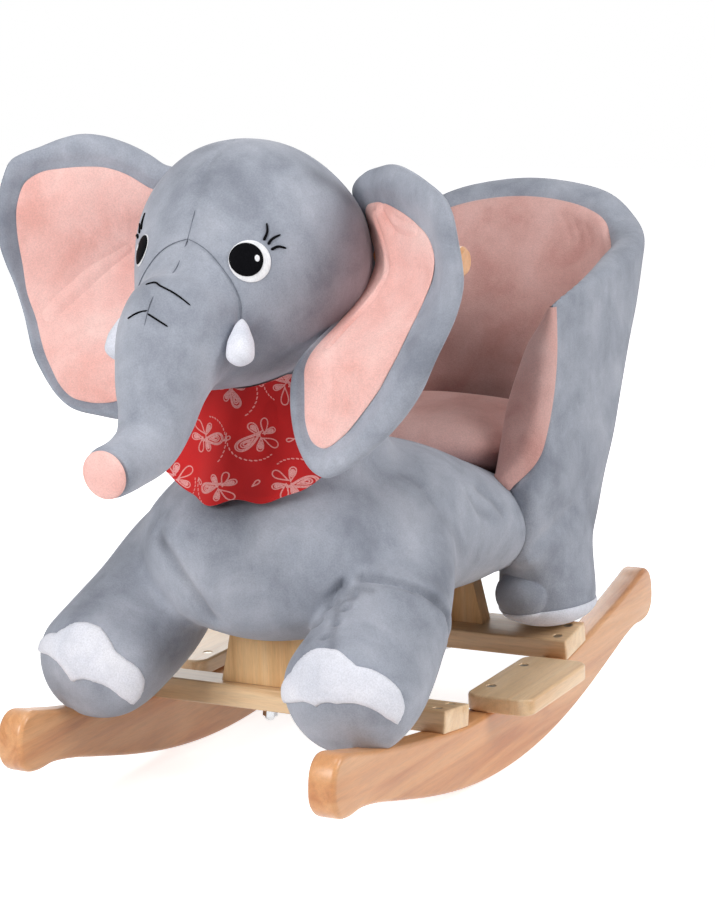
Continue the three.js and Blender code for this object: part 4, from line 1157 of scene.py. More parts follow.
# Painted shade where the head meets the near ear and under the muzzle
paint_shade(face_obj, shaded_at(face_tree, FACE_SHADES))
piece(
    "seat_shell_and_hind_legs",
    cut(haunch_form, body_space),
    GREY_PLUSH,
    ["seat_shell", "left_hind_leg", "right_hind_leg"],
)
lining_cut, cushion_cut = (cut(form, body_space) for form in (lining_form, cushion_form))
lining_obj = piece("seat_lining_plush", lining_cut, SHADED_SEAT_PINK, ["seat_lining"])
# Painted shade deep in the seat, low on the lining
paint_shade(lining_obj, shaded_at(lining_tree, SEAT_SHADES))
seat_pad = piece("seat_cushion_pad", cushion_cut, SHADED_SEAT_PINK, ["seat_cushion"])


# Toe patches, thin puffed skins over the ends of the legs
def clipped(form, field):
    """The part of a surface where field is below zero, with a clean edge."""
    v, faces = form
    points = [tuple(p) for p in v]
    level = list(field(v))
    made, middles = [], {}

    def between(a, b):
        key = (min(a, b), max(a, b))
        if key not in middles:
            share = level[a] / (level[a] - level[b])
            start, end = np.array(points[a]), np.array(points[b])
            middles[key] = len(points)
            points.append(tuple(start + share * (end - start)))
            level.append(0.0)
        return middles[key]

    for face in faces:
        inside = [level[i] < 0 for i in face]
        if not any(inside):
            continue
        if all(inside):
            made.append(tuple(face))
            continue
        corner = []
        for k, i in enumerate(face):
            j = face[(k + 1) % len(face)]
            if level[i] < 0:
                corner.append(i)
            if (level[i] < 0) != (level[j] < 0):
                corner.append(between(i, j))
        if len(corner) >= 3:
            made.append(tuple(corner))
    used = sorted({i for f in made for i in f})
    index = {i: k for k, i in enumerate(used)}
    v2 = np.array([points[i] for i in used])
    return v2, [tuple(index[i] for i in f) for f in made]


PATCH_ROLL = 4.0
PATCH_GAP = 0.35


def skin_patch(form, field, rise):
    """A padded patch on form where field is below zero, rounded off towards its edge."""
    normal_all = normals_of(form)
    tree = tree_near(form[0])
    v, faces = clipped(form, field)
    n = np.array([normal_all[tree.find(p)[1]] for p in v])
    directed = {(a, b) for f in faces for a, b in zip(f, f[1:] + f[:1])}
    border = [(a, b) for a, b in directed if (b, a) not in directed]
    from_edge = distance_to(v[[a for a, _ in border]], v)
    lift = rise * rounded(from_edge / PATCH_ROLL)
    top = v + n * (PATCH_GAP + 0.15 + lift)[:, None]
    count = len(v)
    made = [tuple(f) for f in faces] + [tuple(i + count for i in reversed(f)) for f in faces]
    made += [(b, a, a + count, b + count) for a, b in border]
    return tidy_form((np.vstack([top, v + n * PATCH_GAP]), made), 0.001)


# The foot's own frame: along the leg, to the side and up
FOOT_AT = np.array([107.0, -216, 109])
FOOT_ALONG = np.array([0.0438, -0.9638, -0.2629])
FOOT_SIDE = np.array([0.999, 0.0423, 0.0115])
FOOT_UP = np.array([0, -0.2631, 0.9648])
FOOT_REACH = 72.0
# Upper and lower edge of the toe patch: degrees round the foot, distance along it
TOE_UPPER = [
    (-14, 4.5), (0, -1), (15, -2.5), (30, -1), (45, 1), (60, 3.5), (72, 1), (85, -3), (100, -4.5),
    (115, -4.5), (130, -1), (145, 2.5), (158, 1), (172, -3), (185, -4.5), (200, -2), (212, 2),
]
TOE_LOWER = {
    "left": [
        (-14, 5), (-4, 10), (10, 13.5), (20, 15.5), (40, 18.5), (55, 19.8), (140, 20.2), (152, 17.9),
        (167, 14.7), (176, 10.9), (182, 5.6), (187, -1),
    ],
    "right": [
        (13, 0), (20, 6), (27, 9.3), (42, 14.8), (60, 19.3), (82, 21.1), (140, 20.2), (171, 17.5),
        (185, 14), (200, 10), (212, 3),
    ],
}


def toe_field(side):
    """Below zero on the toe patch of a front foot, given as a left foot."""
    low = TOE_LOWER[side]

    def field(v):
        w = v - FOOT_AT
        along, across, up = w @ FOOT_ALONG, w @ FOOT_SIDE, w @ FOOT_UP
        turn = (np.degrees(np.arctan2(up, across)) + 60) % 360 - 60
        upper = np.interp(turn, *zip(*TOE_UPPER))
        lower = np.interp(turn, *zip(*low))
        value = np.maximum(upper - along, along - lower)
        beyond = np.maximum(low[0][0] - turn, turn - low[-1][0])
        value = np.where(beyond > 0, np.maximum(value, 0.5 + 0.1 * beyond), value)
        away = np.linalg.norm(w, axis=1) - FOOT_REACH
        return np.where(away > 0, np.maximum(value, 1.0), value)

    return field


# The toe band of a hind leg shows inside this round form
HIND_TOE_AT = (118, 128, 82)
HIND_TOE_HALF = (60, 76, 20)


def hind_toe_field(v):
    return (np.linalg.norm((v - HIND_TOE_AT) / HIND_TOE_HALF, axis=1) - 1) * HIND_TOE_HALF[2]


def on_left(field):
    return field


def on_right(field):
    return lambda v: field(v * np.array([-1.0, 1, 1]))


for side, turn in (("left", on_left), ("right", on_right)):
    front_toes = skin_patch(body_form, turn(toe_field(side)), 2.0)
    piece(f"{side}_front_toe_patch", front_toes, WHITE_PLUSH, [f"{side}_front_toes"])
    hind_toes = cut(skin_patch(haunch_form, turn(hind_toe_field), 1.6), body_space)
    piece(f"{side}_hind_toe_patch", hind_toes, WHITE_PLUSH, [f"{side}_hind_toes"])

# Tusks
TUSK_TOP = np.array([47.5, -231, 380])
TUSK_BOTTOM = np.array([50.5, -242, 349])
TUSK_RADII = [2.6, 6.2, 9.3, 9.9, 6.6]
tusk_places = [TUSK_TOP + (TUSK_BOTTOM - TUSK_TOP) * i / 4 for i in range(len(TUSK_RADII))]
tusk_form = soft([[*at, r, r] for at, r in zip(tusk_places, TUSK_RADII)], 48, 40, 0.16, 0.16)
for side, form in (("left", tusk_form), ("right", mirrored(tusk_form))):
    piece(f"{side}_tusk_plush", cut(form, face_space), WHITE_PLUSH, [f"{side}_tusk"])

# Pink pad on the end of the trunk
TIP_AT = np.array([0.0, -337, 288])
TIP_WAY = unit(np.array([0.0, -337 + 308, 288 - 291.5]))
TIP_RADIUS = 17.0
TIP_CROWN = 5.0


def tip_pad():
    side = np.array([1.0, 0, 0])
    up = np.cross(side, TIP_WAY)
    angle = turns(48)
    ring = np.cos(angle)[:, None] * side + np.sin(angle)[:, None] * up
    rows = []
    for a in quarter_turn(12):
        rows.append(TIP_AT + TIP_WAY * TIP_CROWN * math.cos(a) + TIP_RADIUS * math.sin(a) * ring)
    for k in range(1, 7):
        rows.append(TIP_AT - TIP_WAY * 1.5 + TIP_RADIUS * (1 - k / 6) * ring)
    return closed(rows)


piece("trunk_tip_pad", cut(tip_pad(), face_space), PINK_PLUSH, ["trunk_tip"])


# Eyes: sewn discs that follow the face
def disc_on(tree, centre, normal, across, offset, half, lift, crown, around=64, rings=14):
    """A low padded disc over the surface: offset and half sizes lie in the plane across the normal."""
    normal = unit(np.array(normal, float))
    across = unit(np.array(across, float) - normal * np.dot(across, normal))
    up = np.cross(normal, across)
    if up[2] < 0:
        up = -up

    def row(share, height):
        points = []
        for a in turns(around):
            flat = centre + across * (offset[0] + half[0] * share * math.cos(a))
            flat = flat + up * (offset[1] + half[1] * share * math.sin(a))
            hit, _ = cast(tree, flat + normal * 30, -normal)
            points.append((flat if hit is None else hit) + normal * (lift + height))
        return np.array(points)

    rows = []
    for a in quarter_turn(rings):
        rows.append(row(math.sin(a), crown * math.cos(a) ** 0.8))
    for k in range(1, 5):
        rows.append(row(1 - k / 4, -0.3))
    return closed(rows)


def stitched(name, points, radius, taper, material, lift):
    """A line of thread over the face through places given in X and Z."""
    path = [hit + normal * lift for hit, normal in (met_face(x, z) for x, z in points)]
    piece(name, tube(path, radius, taper), material)


# Each eye: where it is, half sizes of white and pupil, and the pupil's offset
EYES = {
    1: ((44.7, 417.7), (15.0, 15.0), (12.0, 12.0), (-2.7, 1.0)),
    -1: ((44.8, 423.0), (10.2, 11.8), (9.7, 10.8), (-0.3, 0.3)),
}
# How far the padding of white, pupil and spark rises
WHITE_CROWN = 1.2
PUPIL_CROWN = 0.8
SPARK_CROWN = 0.4
SPARK_OFFSET = (4.8, 1.2)
SPARK_HALF = (1.8, 2.4)
LASH_OUT = {1: 0.0, -1: 4.0}
LASHES = [
    [(49.8, 430.6), (50.9, 436.5), (49.6, 442.6)],
    [(52.4, 427.7), (54.2, 431.6), (58.1, 434.2)],
    [(54.3, 424.3), (57.8, 426.2), (62.0, 424.6)],
]
for side, sign in (("left", 1), ("right", -1)):
    (x, z), white_half, pupil_half, pupil_offset = EYES[sign]
    centre, normal = met_face(sign * x, z)
    across = np.array([sign * 0.75, 0.66, 0])
    white = disc_on(face_tree, centre, normal, across, (0, 0), white_half, 0.35, WHITE_CROWN)
    piece(f"{side}_eye_white", white, WHITE_THREAD, [f"{side}_eye"], angle=80)
    pupil = disc_on(
        tree_of(white), centre, normal, across, pupil_offset, pupil_half, 0.35, PUPIL_CROWN
    )
    piece(f"{side}_pupil", pupil, BLACK_THREAD, angle=80)
    spark = disc_on(
        tree_of(pupil), centre, normal, across, SPARK_OFFSET, SPARK_HALF, 0.3, SPARK_CROWN, 24, 6
    )
    piece(f"{side}_eye_spark", spark, WHITE_THREAD, angle=80)
    rise = z - EYES[1][0][1]
    for k, lash in enumerate(LASHES):
        points = [(sign * (a + LASH_OUT[sign]), b + rise) for a, b in lash]
        stitched(f"{side}_eyelash_{k + 1}", points, 1.15, 0.55, BLACK_THREAD, 0.5)

# Wrinkles stitched across the top of the trunk
WRINKLES = [
    [(-11.3, 405.3), (-2.8, 406.9), (2.2, 405.2), (14.7, 400.2), (25.7, 392.3)],
    [(-16.4, 383.7), (-7.1, 388.3), (-0.3, 389.8)],
    [(0.2, 387.9), (7.4, 384.9), (16.8, 379.6)],
]
for k, line in enumerate(WRINKLES):
    stitched(f"trunk_wrinkle_{k + 1}", line, 0.75, 0.8, BLACK_THREAD, 0.35)

# Thread that shows at the bottom of the head's seams
SEAM_RADIUS = 0.34
SEAM_LIFT = 0.42
for k, points in enumerate((
    [(0, z) for z in MIDDLE_SEAM_Z[3:8]],
    CHEEK_SEAM,
    [(-x, z) for x, z in CHEEK_SEAM],
)):
    stitched(f"head_seam_{k + 1}", points, SEAM_RADIUS, 1.0, SEAM_THREAD, SEAM_LIFT)

# Ears: outlines in the X-Z plane as seen from the front, and where the pink lining is sewn on
LEFT_OUTLINE = [
    [50, 456], [68, 469], [89, 474.5], [109, 477], [128.6, 474.5], [148, 468.5], [169.6, 460],
    [180, 447.5], [185.5, 431], [189.5, 416.5], [191, 401.5], [186.7, 381], [177, 356.5],
    [167, 334], [153, 314], [133, 293], [112, 276], [95, 266], [82, 262], [70, 268],
    [62.5, 280.5], [58, 298], [56, 316], [57.5, 331], [63, 346], [71, 364], [76, 386],
    [73, 410], [62, 434],
]
LEFT_LINING = [
    [72, 444], [84, 448.5], [101, 448.5], [121, 444.5], [140, 438], [154, 429.5], [160.5, 418],
    [159, 404], [154, 389.5], [149, 371], [144, 351], [134.5, 332], [117.5, 311], [100, 293],
    [84.5, 284.5], [75.5, 288.5], [70, 302.5], [69.5, 317], [70, 332], [71, 349], [76, 368],
    [79.5, 388], [77, 410], [69, 430],
]
RIGHT_OUTLINE = [
    [62, 466], [80, 471], [92.5, 475], [101, 483], [112.5, 491.5], [130, 499], [141.5, 500.5],
    [153, 497.5], [165, 492.5], [174, 489], [182, 483.5], [187.5, 469], [190, 454.5],
    [191, 439.5], [191, 424.5], [187.5, 405.5], [179, 386.5], [166.5, 361.5], [153.5, 337],
    [145.5, 322], [138, 311], [126, 301.5], [105, 297], [86, 294.5], [71, 297], [62, 306],
    [58, 320], [59, 336], [64, 350], [72, 368], [77, 388], [76, 412], [68, 438],
]
RIGHT_LINING = [
    [92, 452], [102, 460], [113.5, 469.5], [125, 475], [136.5, 476.5], [151, 476], [163, 474],
    [173, 466.5], [177.5, 453.5], [179, 442.5], [178.5, 420], [172.5, 386.5], [157.5, 361.5],
    [143, 337], [135.5, 321], [125.5, 311], [113, 307.5], [101, 307], [88, 309], [77, 315],
    [72, 326], [74, 341], [82, 362], [89, 384], [91, 410], [88, 434],
]
EAR_ROOT_X = 84
EAR_ROOT_Y = -95
EAR_SWEEP = 0.79
EAR_BEND_TOP = 410
EAR_BEND_HEIGHT = 75
EAR_FORWARD = 89
EAR_BEND_SLOPE = 0.1
EAR_ROLL = 8.4
EAR_BACK = 7.6
EAR_BACK_ROUND = 13
EAR_INSIDE = 4.2
EAR_INSIDE_SWELL = 2.4
EAR_INSIDE_ROUND = 30
EAR_LINING_RISE = 1.7
EAR_LINING_ROUND = 6
# The left ear is folded back beside the head: height, and where the fold lies
EAR_FOLD_LINE = [
    (352, 79.5), (358, 81.7), (367, 87), (376.5, 94.3), (387, 101), (399, 100.6), (414.5, 98.8),
    (426, 91), (439, 81),
]
EAR_FOLD_DEPTH = 6.0
EAR_FOLD_WIDTH = 9.0
# It runs out past both ends of the line, over these heights
EAR_FOLD_PAST = 6
EAR_FOLD_OUT = (22, 18)


def ear_face(x, z):
    bend = smoothstep((EAR_BEND_TOP - z) / EAR_BEND_HEIGHT)
    out = x - EAR_ROOT_X
    return EAR_ROOT_Y - out * EAR_SWEEP * (1 - bend) - bend * (EAR_FORWARD + out * EAR_BEND_SLOPE)


def from_line(points, line):
    """Distance in the plane from points to a closed polyline."""
    a, b = line, np.roll(line, -1, 0)
    e = b - a
    w = points[:, None] - a[None]
    t = np.clip((w * e).sum(-1) / np.maximum((e * e).sum(-1), 1e-9), 0, 1)
    return np.linalg.norm(w - t[..., None] * e, axis=-1).min(1)


def turn_of(away):
    return np.arctan2(away[:, 1], away[:, 0])


def reach_at(line, middle, angles):
    """Distance from the middle to a closed outline that it sees all of, at each angle."""
    away = line - middle
    return np.interp(angles, turn_of(away), np.linalg.norm(away, axis=1), period=2 * np.pi)


def fold_back(x, z):
    heights, across = zip(*EAR_FOLD_LINE)
    line = np.interp(z, heights, across)
    within = smoothstep((z - heights[0] + EAR_FOLD_PAST) / EAR_FOLD_OUT[0])
    within *= smoothstep((heights[-1] + EAR_FOLD_PAST - z) / EAR_FOLD_OUT[1])
    return EAR_FOLD_DEPTH * within * smoothstep((line - x) / EAR_FOLD_WIDTH)


def ear_forms(outline, lining_outline):
    edge = outline_of(outline, 220)
    middle = edge.mean(0)
    sewn = outline_of(lining_outline, 600)
    away = edge - middle
    seam = middle + unit(away) * reach_at(sewn, middle, turn_of(away))[:, None]
    shares = np.sin(quarter_turn(40))

    def front_thickness(points):
        to_edge, to_seam = from_line(points, edge), from_line(points, seam)
        toward = points - middle
        inside = np.linalg.norm(toward, axis=1) < reach_at(sewn, middle, turn_of(toward))
        s = np.where(inside, 1.0, to_edge / np.maximum(to_edge + to_seam, 1e-6))
        roll = EAR_ROLL * rounded(s * 2.2)
        dip = smoothstep((s - 0.5) / 0.5)
        swell = smoothstep(np.where(inside, to_seam, 0) / EAR_INSIDE_ROUND)
        inner = EAR_INSIDE + EAR_INSIDE_SWELL * swell
        fold = fold_back(points[:, 0], points[:, 1]) if outline is LEFT_OUTLINE else 0.0
        return roll * (1 - dip) + inner * dip - fold

    def back_thickness(points):
        return EAR_BACK * rounded(from_line(points, edge) / EAR_BACK_ROUND)

    def surface(points, thickness):
        x, z = points[:, 0], points[:, 1]
        return np.stack([x, ear_face(x, z) - thickness, z], -1)

    rings_at = [middle + (edge - middle) * s for s in shares]
    rows = [surface(p, front_thickness(p)) for p in rings_at]
    rows += [surface(p, -back_thickness(p)) for p in rings_at[-2::-1]]
    flaps = [middle + (seam - middle) * s for s in shares]
    fronts = [front_thickness(p) for p in flaps]
    lifts = [0.5 + EAR_LINING_RISE * rounded(from_line(p, seam) / EAR_LINING_ROUND) for p in flaps]
    inner_rows = [surface(p, front + lift) for p, front, lift in zip(flaps, fronts, lifts)]
    inner_rows += [surface(p, front + 0.3) for p, front in zip(flaps[::-1], fronts[::-1])]
    return closed(rows), closed(inner_rows)


def blended(obj):
    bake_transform(obj)


# Soft creases of the ears, where they show in the photograph: places, depth, width
EAR_FOLDS = {
    1: [
        ([(384, 210), (396, 224), (414, 231), (430, 232)], 2.4, 4.0),
        ([(374, 216), (385, 248), (380, 288), (353, 320), (330, 344)], 3.5, 4.0, 3.0, (8, -6, 1)),
    ],
    -1: [([(128, 250), (100, 268), (72, 292), (50, 314)], 1.8, 6.0)],
}
for side, outline, sewn, sign, flap in (
    ("left", LEFT_OUTLINE, LEFT_LINING, 1, LEFT_EAR),
    ("right", RIGHT_OUTLINE, RIGHT_LINING, -1, RIGHT_EAR),
):
    kinds = (("ear", GREY_PLUSH), ("ear_lining", PINK_PLUSH))
    for (kind, material), form in zip(kinds, ear_forms(outline, sewn)):
        form = lumpy(form, size=34, depth=0.8, seed=6 + sign)
        if sign < 0:
            form = mirrored(form)
        if kind == "ear_lining":
            for places, *shape in EAR_FOLDS[sign]:
                form = creased(form, seen_path(tree_of(form), places), *shape)
        obj = piece(f"{side}_{kind}_plush", form, material, [f"{side}_{kind}"], body=None)
        blended(obj)

# Neckerchief
SCARF_Y = -96
SCARF_HALF_ANGLE = 80
SCARF_TOP_Z = 330
SCARF_FRONT_Z = 238
SCARF_SIDE_Z = 300
SCARF_TOP = (78, 72)
SCARF_BOTTOM = (98, 90)
SCARF_FOLDS = 7
SCARF_FOLD_DEPTH = 3.0
SCARF_VALLEY = 0.36
SCARF_SHEET = 0.8
# How near and how far off the body and the head hold it
SCARF_CLEAR = 0.6
SCARF_HELD_WITHIN = 25
# Laid flat, it is as wide as if this were its radius
SCARF_FLAT_RADIUS = 88
PRINT_STEP = 0.25
PRINT_HALF_WIDTH = 0.25
PRINT_EDGE = 0.5
MOTIF_SPACING = 47.0
# A motif's petals: degrees round it, half length, bend, and how it is drawn
PETALS = [
    (0, 8.6, 0.35, "double"),
    (62, 6.4, -0.2, "filled"),
    (112, 6.8, 0.25, "open"),
    (168, 6.0, -0.3, "filled"),
    (228, 7.4, 0.2, "open"),
    (292, 5.8, 0.15, "filled"),
]
# Shares of its size at which a petal's outline is drawn
PETAL_LINES = {"open": (1.0,), "double": (1.25, 1.0, 0.6, 0.3), "filled": (1.0, 0.5, 0.25)}


def drop(size, bend=0.0):
    """A paisley drop of unit direction +Y, tip up."""
    a = np.linspace(0, 2 * np.pi, 60)
    x = np.sin(a) * np.abs(np.sin(a / 2)) ** 1.6
    y = np.cos(a)
    x = 0.62 * x + bend * ((y + 1) / 2) ** 2
    return np.stack([x, y], -1) * size


def placed(line, at, turn):
    c, s = math.cos(turn), math.sin(turn)
    return line @ np.array([[c, s], [-s, c]]) + np.array(at)


def along_line(line, looped=True):
    """Points close together along a drawn line."""
    points = []
    corners = np.vstack([line, line[:1]]) if looped else line
    for a, b in zip(corners, corners[1:]):
        count = max(1, int(np.linalg.norm(b - a) / PRINT_STEP))
        points += [a + (b - a) * k / count for k in range(count)]
    return points


def scaled_about_belly(shape, size, share):
    belly = np.array([0, -0.3 * size])
    return (shape - belly) * share + belly


def motif(at, start, scale, rng):
    """A loose spray of drops with a dashed tail."""
    points = []
    for degrees, size, bend, kind in PETALS:
        turn = start + math.radians(degrees + rng.uniform(-8, 8))
        size = size * scale * rng.uniform(0.9, 1.1)
        way = np.array([-math.sin(turn), math.cos(turn)])
        centre = at - way * (size + 1.2)
        shape = drop(size, bend)
        for share in PETAL_LINES[kind]:
            points += along_line(placed(scaled_about_belly(shape, size, share), centre, turn))
    tail = start + rng.uniform(2.4, 3.4)
    for k in range(14):
        a = tail + k * 0.16
        r = 17.5 * scale + 0.7 * k
        dash = np.array([[math.cos(a), math.sin(a)], [math.cos(a + 0.09), math.sin(a + 0.09)]]) * r
        points += along_line(dash + at, looped=False)
    return points


def paisley_points():
    """Points along every printed line, on the cloth laid flat."""
    rng = np.random.default_rng(11)
    points = []
    for row in range(-1, 5):
        for column in range(-5, 6):
            at = np.array([
                (column + 0.5 * (row % 2)) * MOTIF_SPACING + rng.uniform(-3, 3),
                8 + row * MOTIF_SPACING * 0.86 + rng.uniform(-3, 3),
            ])
            points += motif(at, rng.uniform(0, 2 * np.pi), rng.uniform(0.85, 1.05), rng)
            small = at + np.array([MOTIF_SPACING / 2, rng.uniform(-4, 4)])
            points += along_line(placed(drop(3.2), small, rng.uniform(0, 2 * np.pi)))
    return np.array(points)


def scarf():
    turn, down = np.meshgrid(np.linspace(-1, 1, 460), np.linspace(0, 1, 230))
    angle = np.radians(SCARF_HALF_ANGLE * turn)
    wave = 2.2 * np.sin(9 * angle + 0.6) + 1.4 * np.sin(17 * angle)
    bottom = SCARF_FRONT_Z + (SCARF_SIDE_Z - SCARF_FRONT_Z) * turn**2 + wave
    z = SCARF_TOP_Z + (bottom - SCARF_TOP_Z) * down
    fold = SCARF_FOLD_DEPTH * down * np.cos(SCARF_FOLDS * angle)
    fold += 1.6 * down * np.sin(13 * angle + 3 * down)
    fold += 1.2 * np.sin(6 * angle - 7 * down + 1) * down * (1.2 - down)
    fold += 1.4 * down
    fold -= 7.5 * bell(angle - SCARF_VALLEY, 0.17) * np.sin(np.pi * np.clip(down * 1.05, 0, 1))
    flare = down**1.5
    rx, ry = (top + (foot - top) * flare + fold for top, foot in zip(SCARF_TOP, SCARF_BOTTOM))
    grid = np.stack([rx * np.sin(angle), SCARF_Y - ry * np.cos(angle), z], -1)
    way = ways_out(grid)
    # Where the body or the head swells past it, the cloth lies on them
    clear = SCARF_SHEET / 2 + SCARF_CLEAR
    lifted = grid.reshape(-1, 3).copy()
    for tree in (body_tree, face_tree):
        for i, p in enumerate(lifted):
            hit, normal, _, gap = tree.find_nearest(Vector(p))
            side = (p - np.array(hit)) @ np.array(normal)
            if side < clear and gap < SCARF_HELD_WITHIN:
                lifted[i] = np.array(hit) + np.array(normal) * clear
    grid = lifted.reshape(grid.shape)
    # The same place on the flat cloth, for the print
    flat = np.stack([angle * SCARF_FLAT_RADIUS, SCARF_TOP_Z - z + 12 * flare], -1).reshape(-1, 2)
    near = distance_to(in_space(paisley_points()), in_space(flat))
    drawn = np.clip(1 - (near - PRINT_HALF_WIDTH) / PRINT_EDGE, 0, 1)
    half_sheet = way * SCARF_SHEET / 2
    form = shell_between(grid + half_sheet, grid - half_sheet)
    size = np.linalg.norm(np.diff(grid, axis=1), axis=2)
    tall = np.linalg.norm(np.diff(grid, axis=0), axis=2)
    area = (size[:-1] * tall[:, :-1]).sum() * MM * MM
    width = size.sum(1).max() * MM
    length = tall.sum(0).max() * MM
    return form, np.r_[drawn, drawn], width, length, area


scarf_form, scarf_print, scarf_width, scarf_length, scarf_area = scarf()
scarf_mesh = as_mesh(((scarf_form[0] - MIDDLE) * MM, scarf_form[1]), "bandana_cloth")
scarf_mesh.polygons.foreach_set("use_smooth", [True] * len(scarf_mesh.polygons))
scarf_mesh.materials.append(RED_COTTON)
scarf_obj = added("bandana_cloth", scarf_mesh)
add_values(scarf_obj, "print", scarf_print)
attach(scarf_obj, BODY)
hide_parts("bandana")

# Boards with eased edges
ROCKER_OUTER_X = 140.0
ROCKER_INNER_X = 118.0
ROCKER_CENTRE_Y = 8.0
ROCKER_BOTTOM = [
    (0, 0), (50, 2.1), (100, 8.6), (150, 19.2), (200, 32.6), (232, 41.4), (258, 46), (276, 45.6),
    (289, 48.6),
]
ROCKER_TOP = [
    (297, 58), (298, 72), (294, 85), (284, 92), (262, 87.6), (231, 80), (178, 69.6), (122, 60.4),
    (87, 56.2), (50, 54.4), (0, 54),
]
ROCKER_EASE = 4.0
CROSSBAR_SIZE = (280.0, 42.0, 17.5)
BARS = {"front": (-100.0, 57.9, -8.0), "rear": (130.0, 58.6, 9.0)}
BAR_EASE = 1.6
FOOTREST_SIZE = (56.0, 117.0, 13.3)
FOOTREST_CENTRE_Y = 16.5
FOOTREST_BOTTOM_Z = 54.4
FOOTREST_CORNER = 11.0
FOOTREST_EASE = 2.2


def slab(edge, low, high, ease):
    """A board from a closed outline, between two levels, its edges rounded off."""
    edge = np.asarray(edge, float)
    tangent = unit(np.roll(edge, -1, 0) - np.roll(edge, 1, 0))
    inward = np.stack([-tangent[:, 1], tangent[:, 0]], -1)
    steps = np.linspace(0, np.pi / 2, 6)
    rounds = [(ease * (1 - math.sin(a)), low + ease * (1 - math.cos(a))) for a in steps]
    rounds += [(ease * (1 - math.sin(a)), high - ease * (1 - math.cos(a))) for a in steps[::-1]]
    n = len(edge)
    v = np.vstack([np.hstack([edge + inward * d, np.full((n, 1), h)]) for d, h in rounds])
    faces = ring_faces(len(rounds), n)
    faces.append(tuple(range(n - 1, -1, -1)))
    faces.append(tuple(range(len(v) - n, len(v))))
    return v, faces


def rectangle(width, length, corner):
    """Outline of a rectangle about the origin with round corners."""
    points = []
    for k, (sx, sy) in enumerate(((1, -1), (1, 1), (-1, 1), (-1, -1))):
        centre = np.array([sx * (width / 2 - corner), sy * (length / 2 - corner)])
        for a in quarter_turn(7):
            turn = a + (k - 1) * np.pi / 2
            points.append(centre + corner * np.array([math.cos(turn), math.sin(turn)]))
    return np.array(points)


def on_bar(form, bar):
    y, z, tilt = BARS[bar]
    turn = np.array(Matrix.Rotation(math.radians(tilt), 3, "X"))
    return form[0] @ turn.T + np.array([0, y, z]), form[1]


def room_for(name):
    """A CAD solid with the gap round it, its points moved out along their normals."""
    v, faces = tidy_form(form_of(nodes[name].data), 1e-6)
    return moved_out((v / MM + MIDDLE, faces), GAP)


SCREW_HOLE_RISE = 1.6


def screw_hole(name):
    """Room for a screw, open above its sunk head."""
    v, faces = room_for(name)
    centred = v - v.mean(0)
    axis = np.linalg.svd(centred, full_matrices=False)[2][0]
    axis = axis * np.sign(axis[2])
    along = centred @ axis
    v[along > along.max() - GAP] += axis * SCREW_HOLE_RISE
    return v, faces


screw_names = sorted(n for n in nodes if "crossbar_screw" in n or "footrest_screw" in n)


def rocker_board():
    half = [*ROCKER_BOTTOM, *ROCKER_TOP]
    other = [(-d, z) for d, z in half[-2:0:-1]]
    edge = outline_of([*half, *other], 300)
    v, faces = slab(edge, ROCKER_INNER_X, ROCKER_OUTER_X, ROCKER_EASE)
    return np.stack([v[:, 2], v[:, 0] + ROCKER_CENTRE_Y, v[:, 1]], -1), faces


def bar_board(bar, more=0.0):
    length, depth, thick = (s + 2 * more for s in CROSSBAR_SIZE)
    form = slab(rectangle(length, depth, BAR_EASE), -more, thick - more, BAR_EASE)
    return on_bar(form, bar)


def footrest_board(more=0.0):
    width, length, thick = (s + 2 * more for s in FOOTREST_SIZE)
    low = FOOTREST_BOTTOM_Z - more
    v, faces = slab(rectangle(width, length, FOOTREST_CORNER), low, low + thick, FOOTREST_EASE)
    return v + np.array([ROCKER_INNER_X + FOOTREST_SIZE[0] / 2, FOOTREST_CENTRE_Y, 0]), faces


def board(name, form, material, holes, node):
    piece(name, cut(form, *holes), material, [node], angle=35)


bar_rooms = [bar_board(bar, GAP) for bar in BARS]
rocker = cut(rocker_board(), *bar_rooms, footrest_board(GAP))
screw_rooms = [room_for(n) for n in screw_names]
rest_holes, bar_holes = (
    [screw_hole(n) for n in screw_names if kind in n] for kind in ("footrest", "crossbar")
)
bar_holes += [room_for(n) for n in nodes if "cap_bolt" in n]
for side, sign, rocker_form, rest_form in (
    ("left", 1, rocker, footrest_board()),
    ("right", -1, mirrored(rocker), mirrored(footrest_board())),
):
    holes = [room for room in screw_rooms if room[0][:, 0].mean() * sign > 0]
    board(f"{side}_rocker_board", rocker_form, VARNISHED_Y, holes, f"{side}_rocker")
    board(f"{side}_footrest_board", rest_form, CREAM_Y, rest_holes, f"{side}_footrest")
for bar in BARS:
    board(f"{bar}_crossbar_board", bar_board(bar), CREAM_X, bar_holes, f"{bar}_crossbar")

# Wood and steel keep their solids; the first of these words in a name gives the material
WORD_MATERIALS = (
    ("screw", SCREW_STEEL), ("bolt", BOLT_STEEL), ("crossbar", VARNISHED_X),
    ("handle_dowel", VARNISHED_X), ("rocker", VARNISHED_Y), ("footrest", VARNISHED_Y),
    ("seat_board", PLAIN_Y), ("", PLAIN_Z),
)
for name, obj in nodes.items():
    if not obj.hide_render:
        obj.data.materials.clear()
        obj.data.materials.append(next(made for word, made in WORD_MATERIALS if word in name))

# Floor, backdrop and light
FLOOR_HALF = 6.0


def floor():
    steps = 24
    line = np.linspace(-FLOOR_HALF, FLOOR_HALF, steps)
    grid = in_space(np.stack(np.meshgrid(line, line), -1).reshape(-1, 2))
    faces = []
    for r in range(steps - 1):
        for c in range(steps - 1):
            a = r * steps + c
            faces.append((a, a + 1, a + 1 + steps, a + steps))
    mesh = as_mesh((grid, faces), "floor")
    mesh.materials.append(floor_material())
    added("floor", mesh)


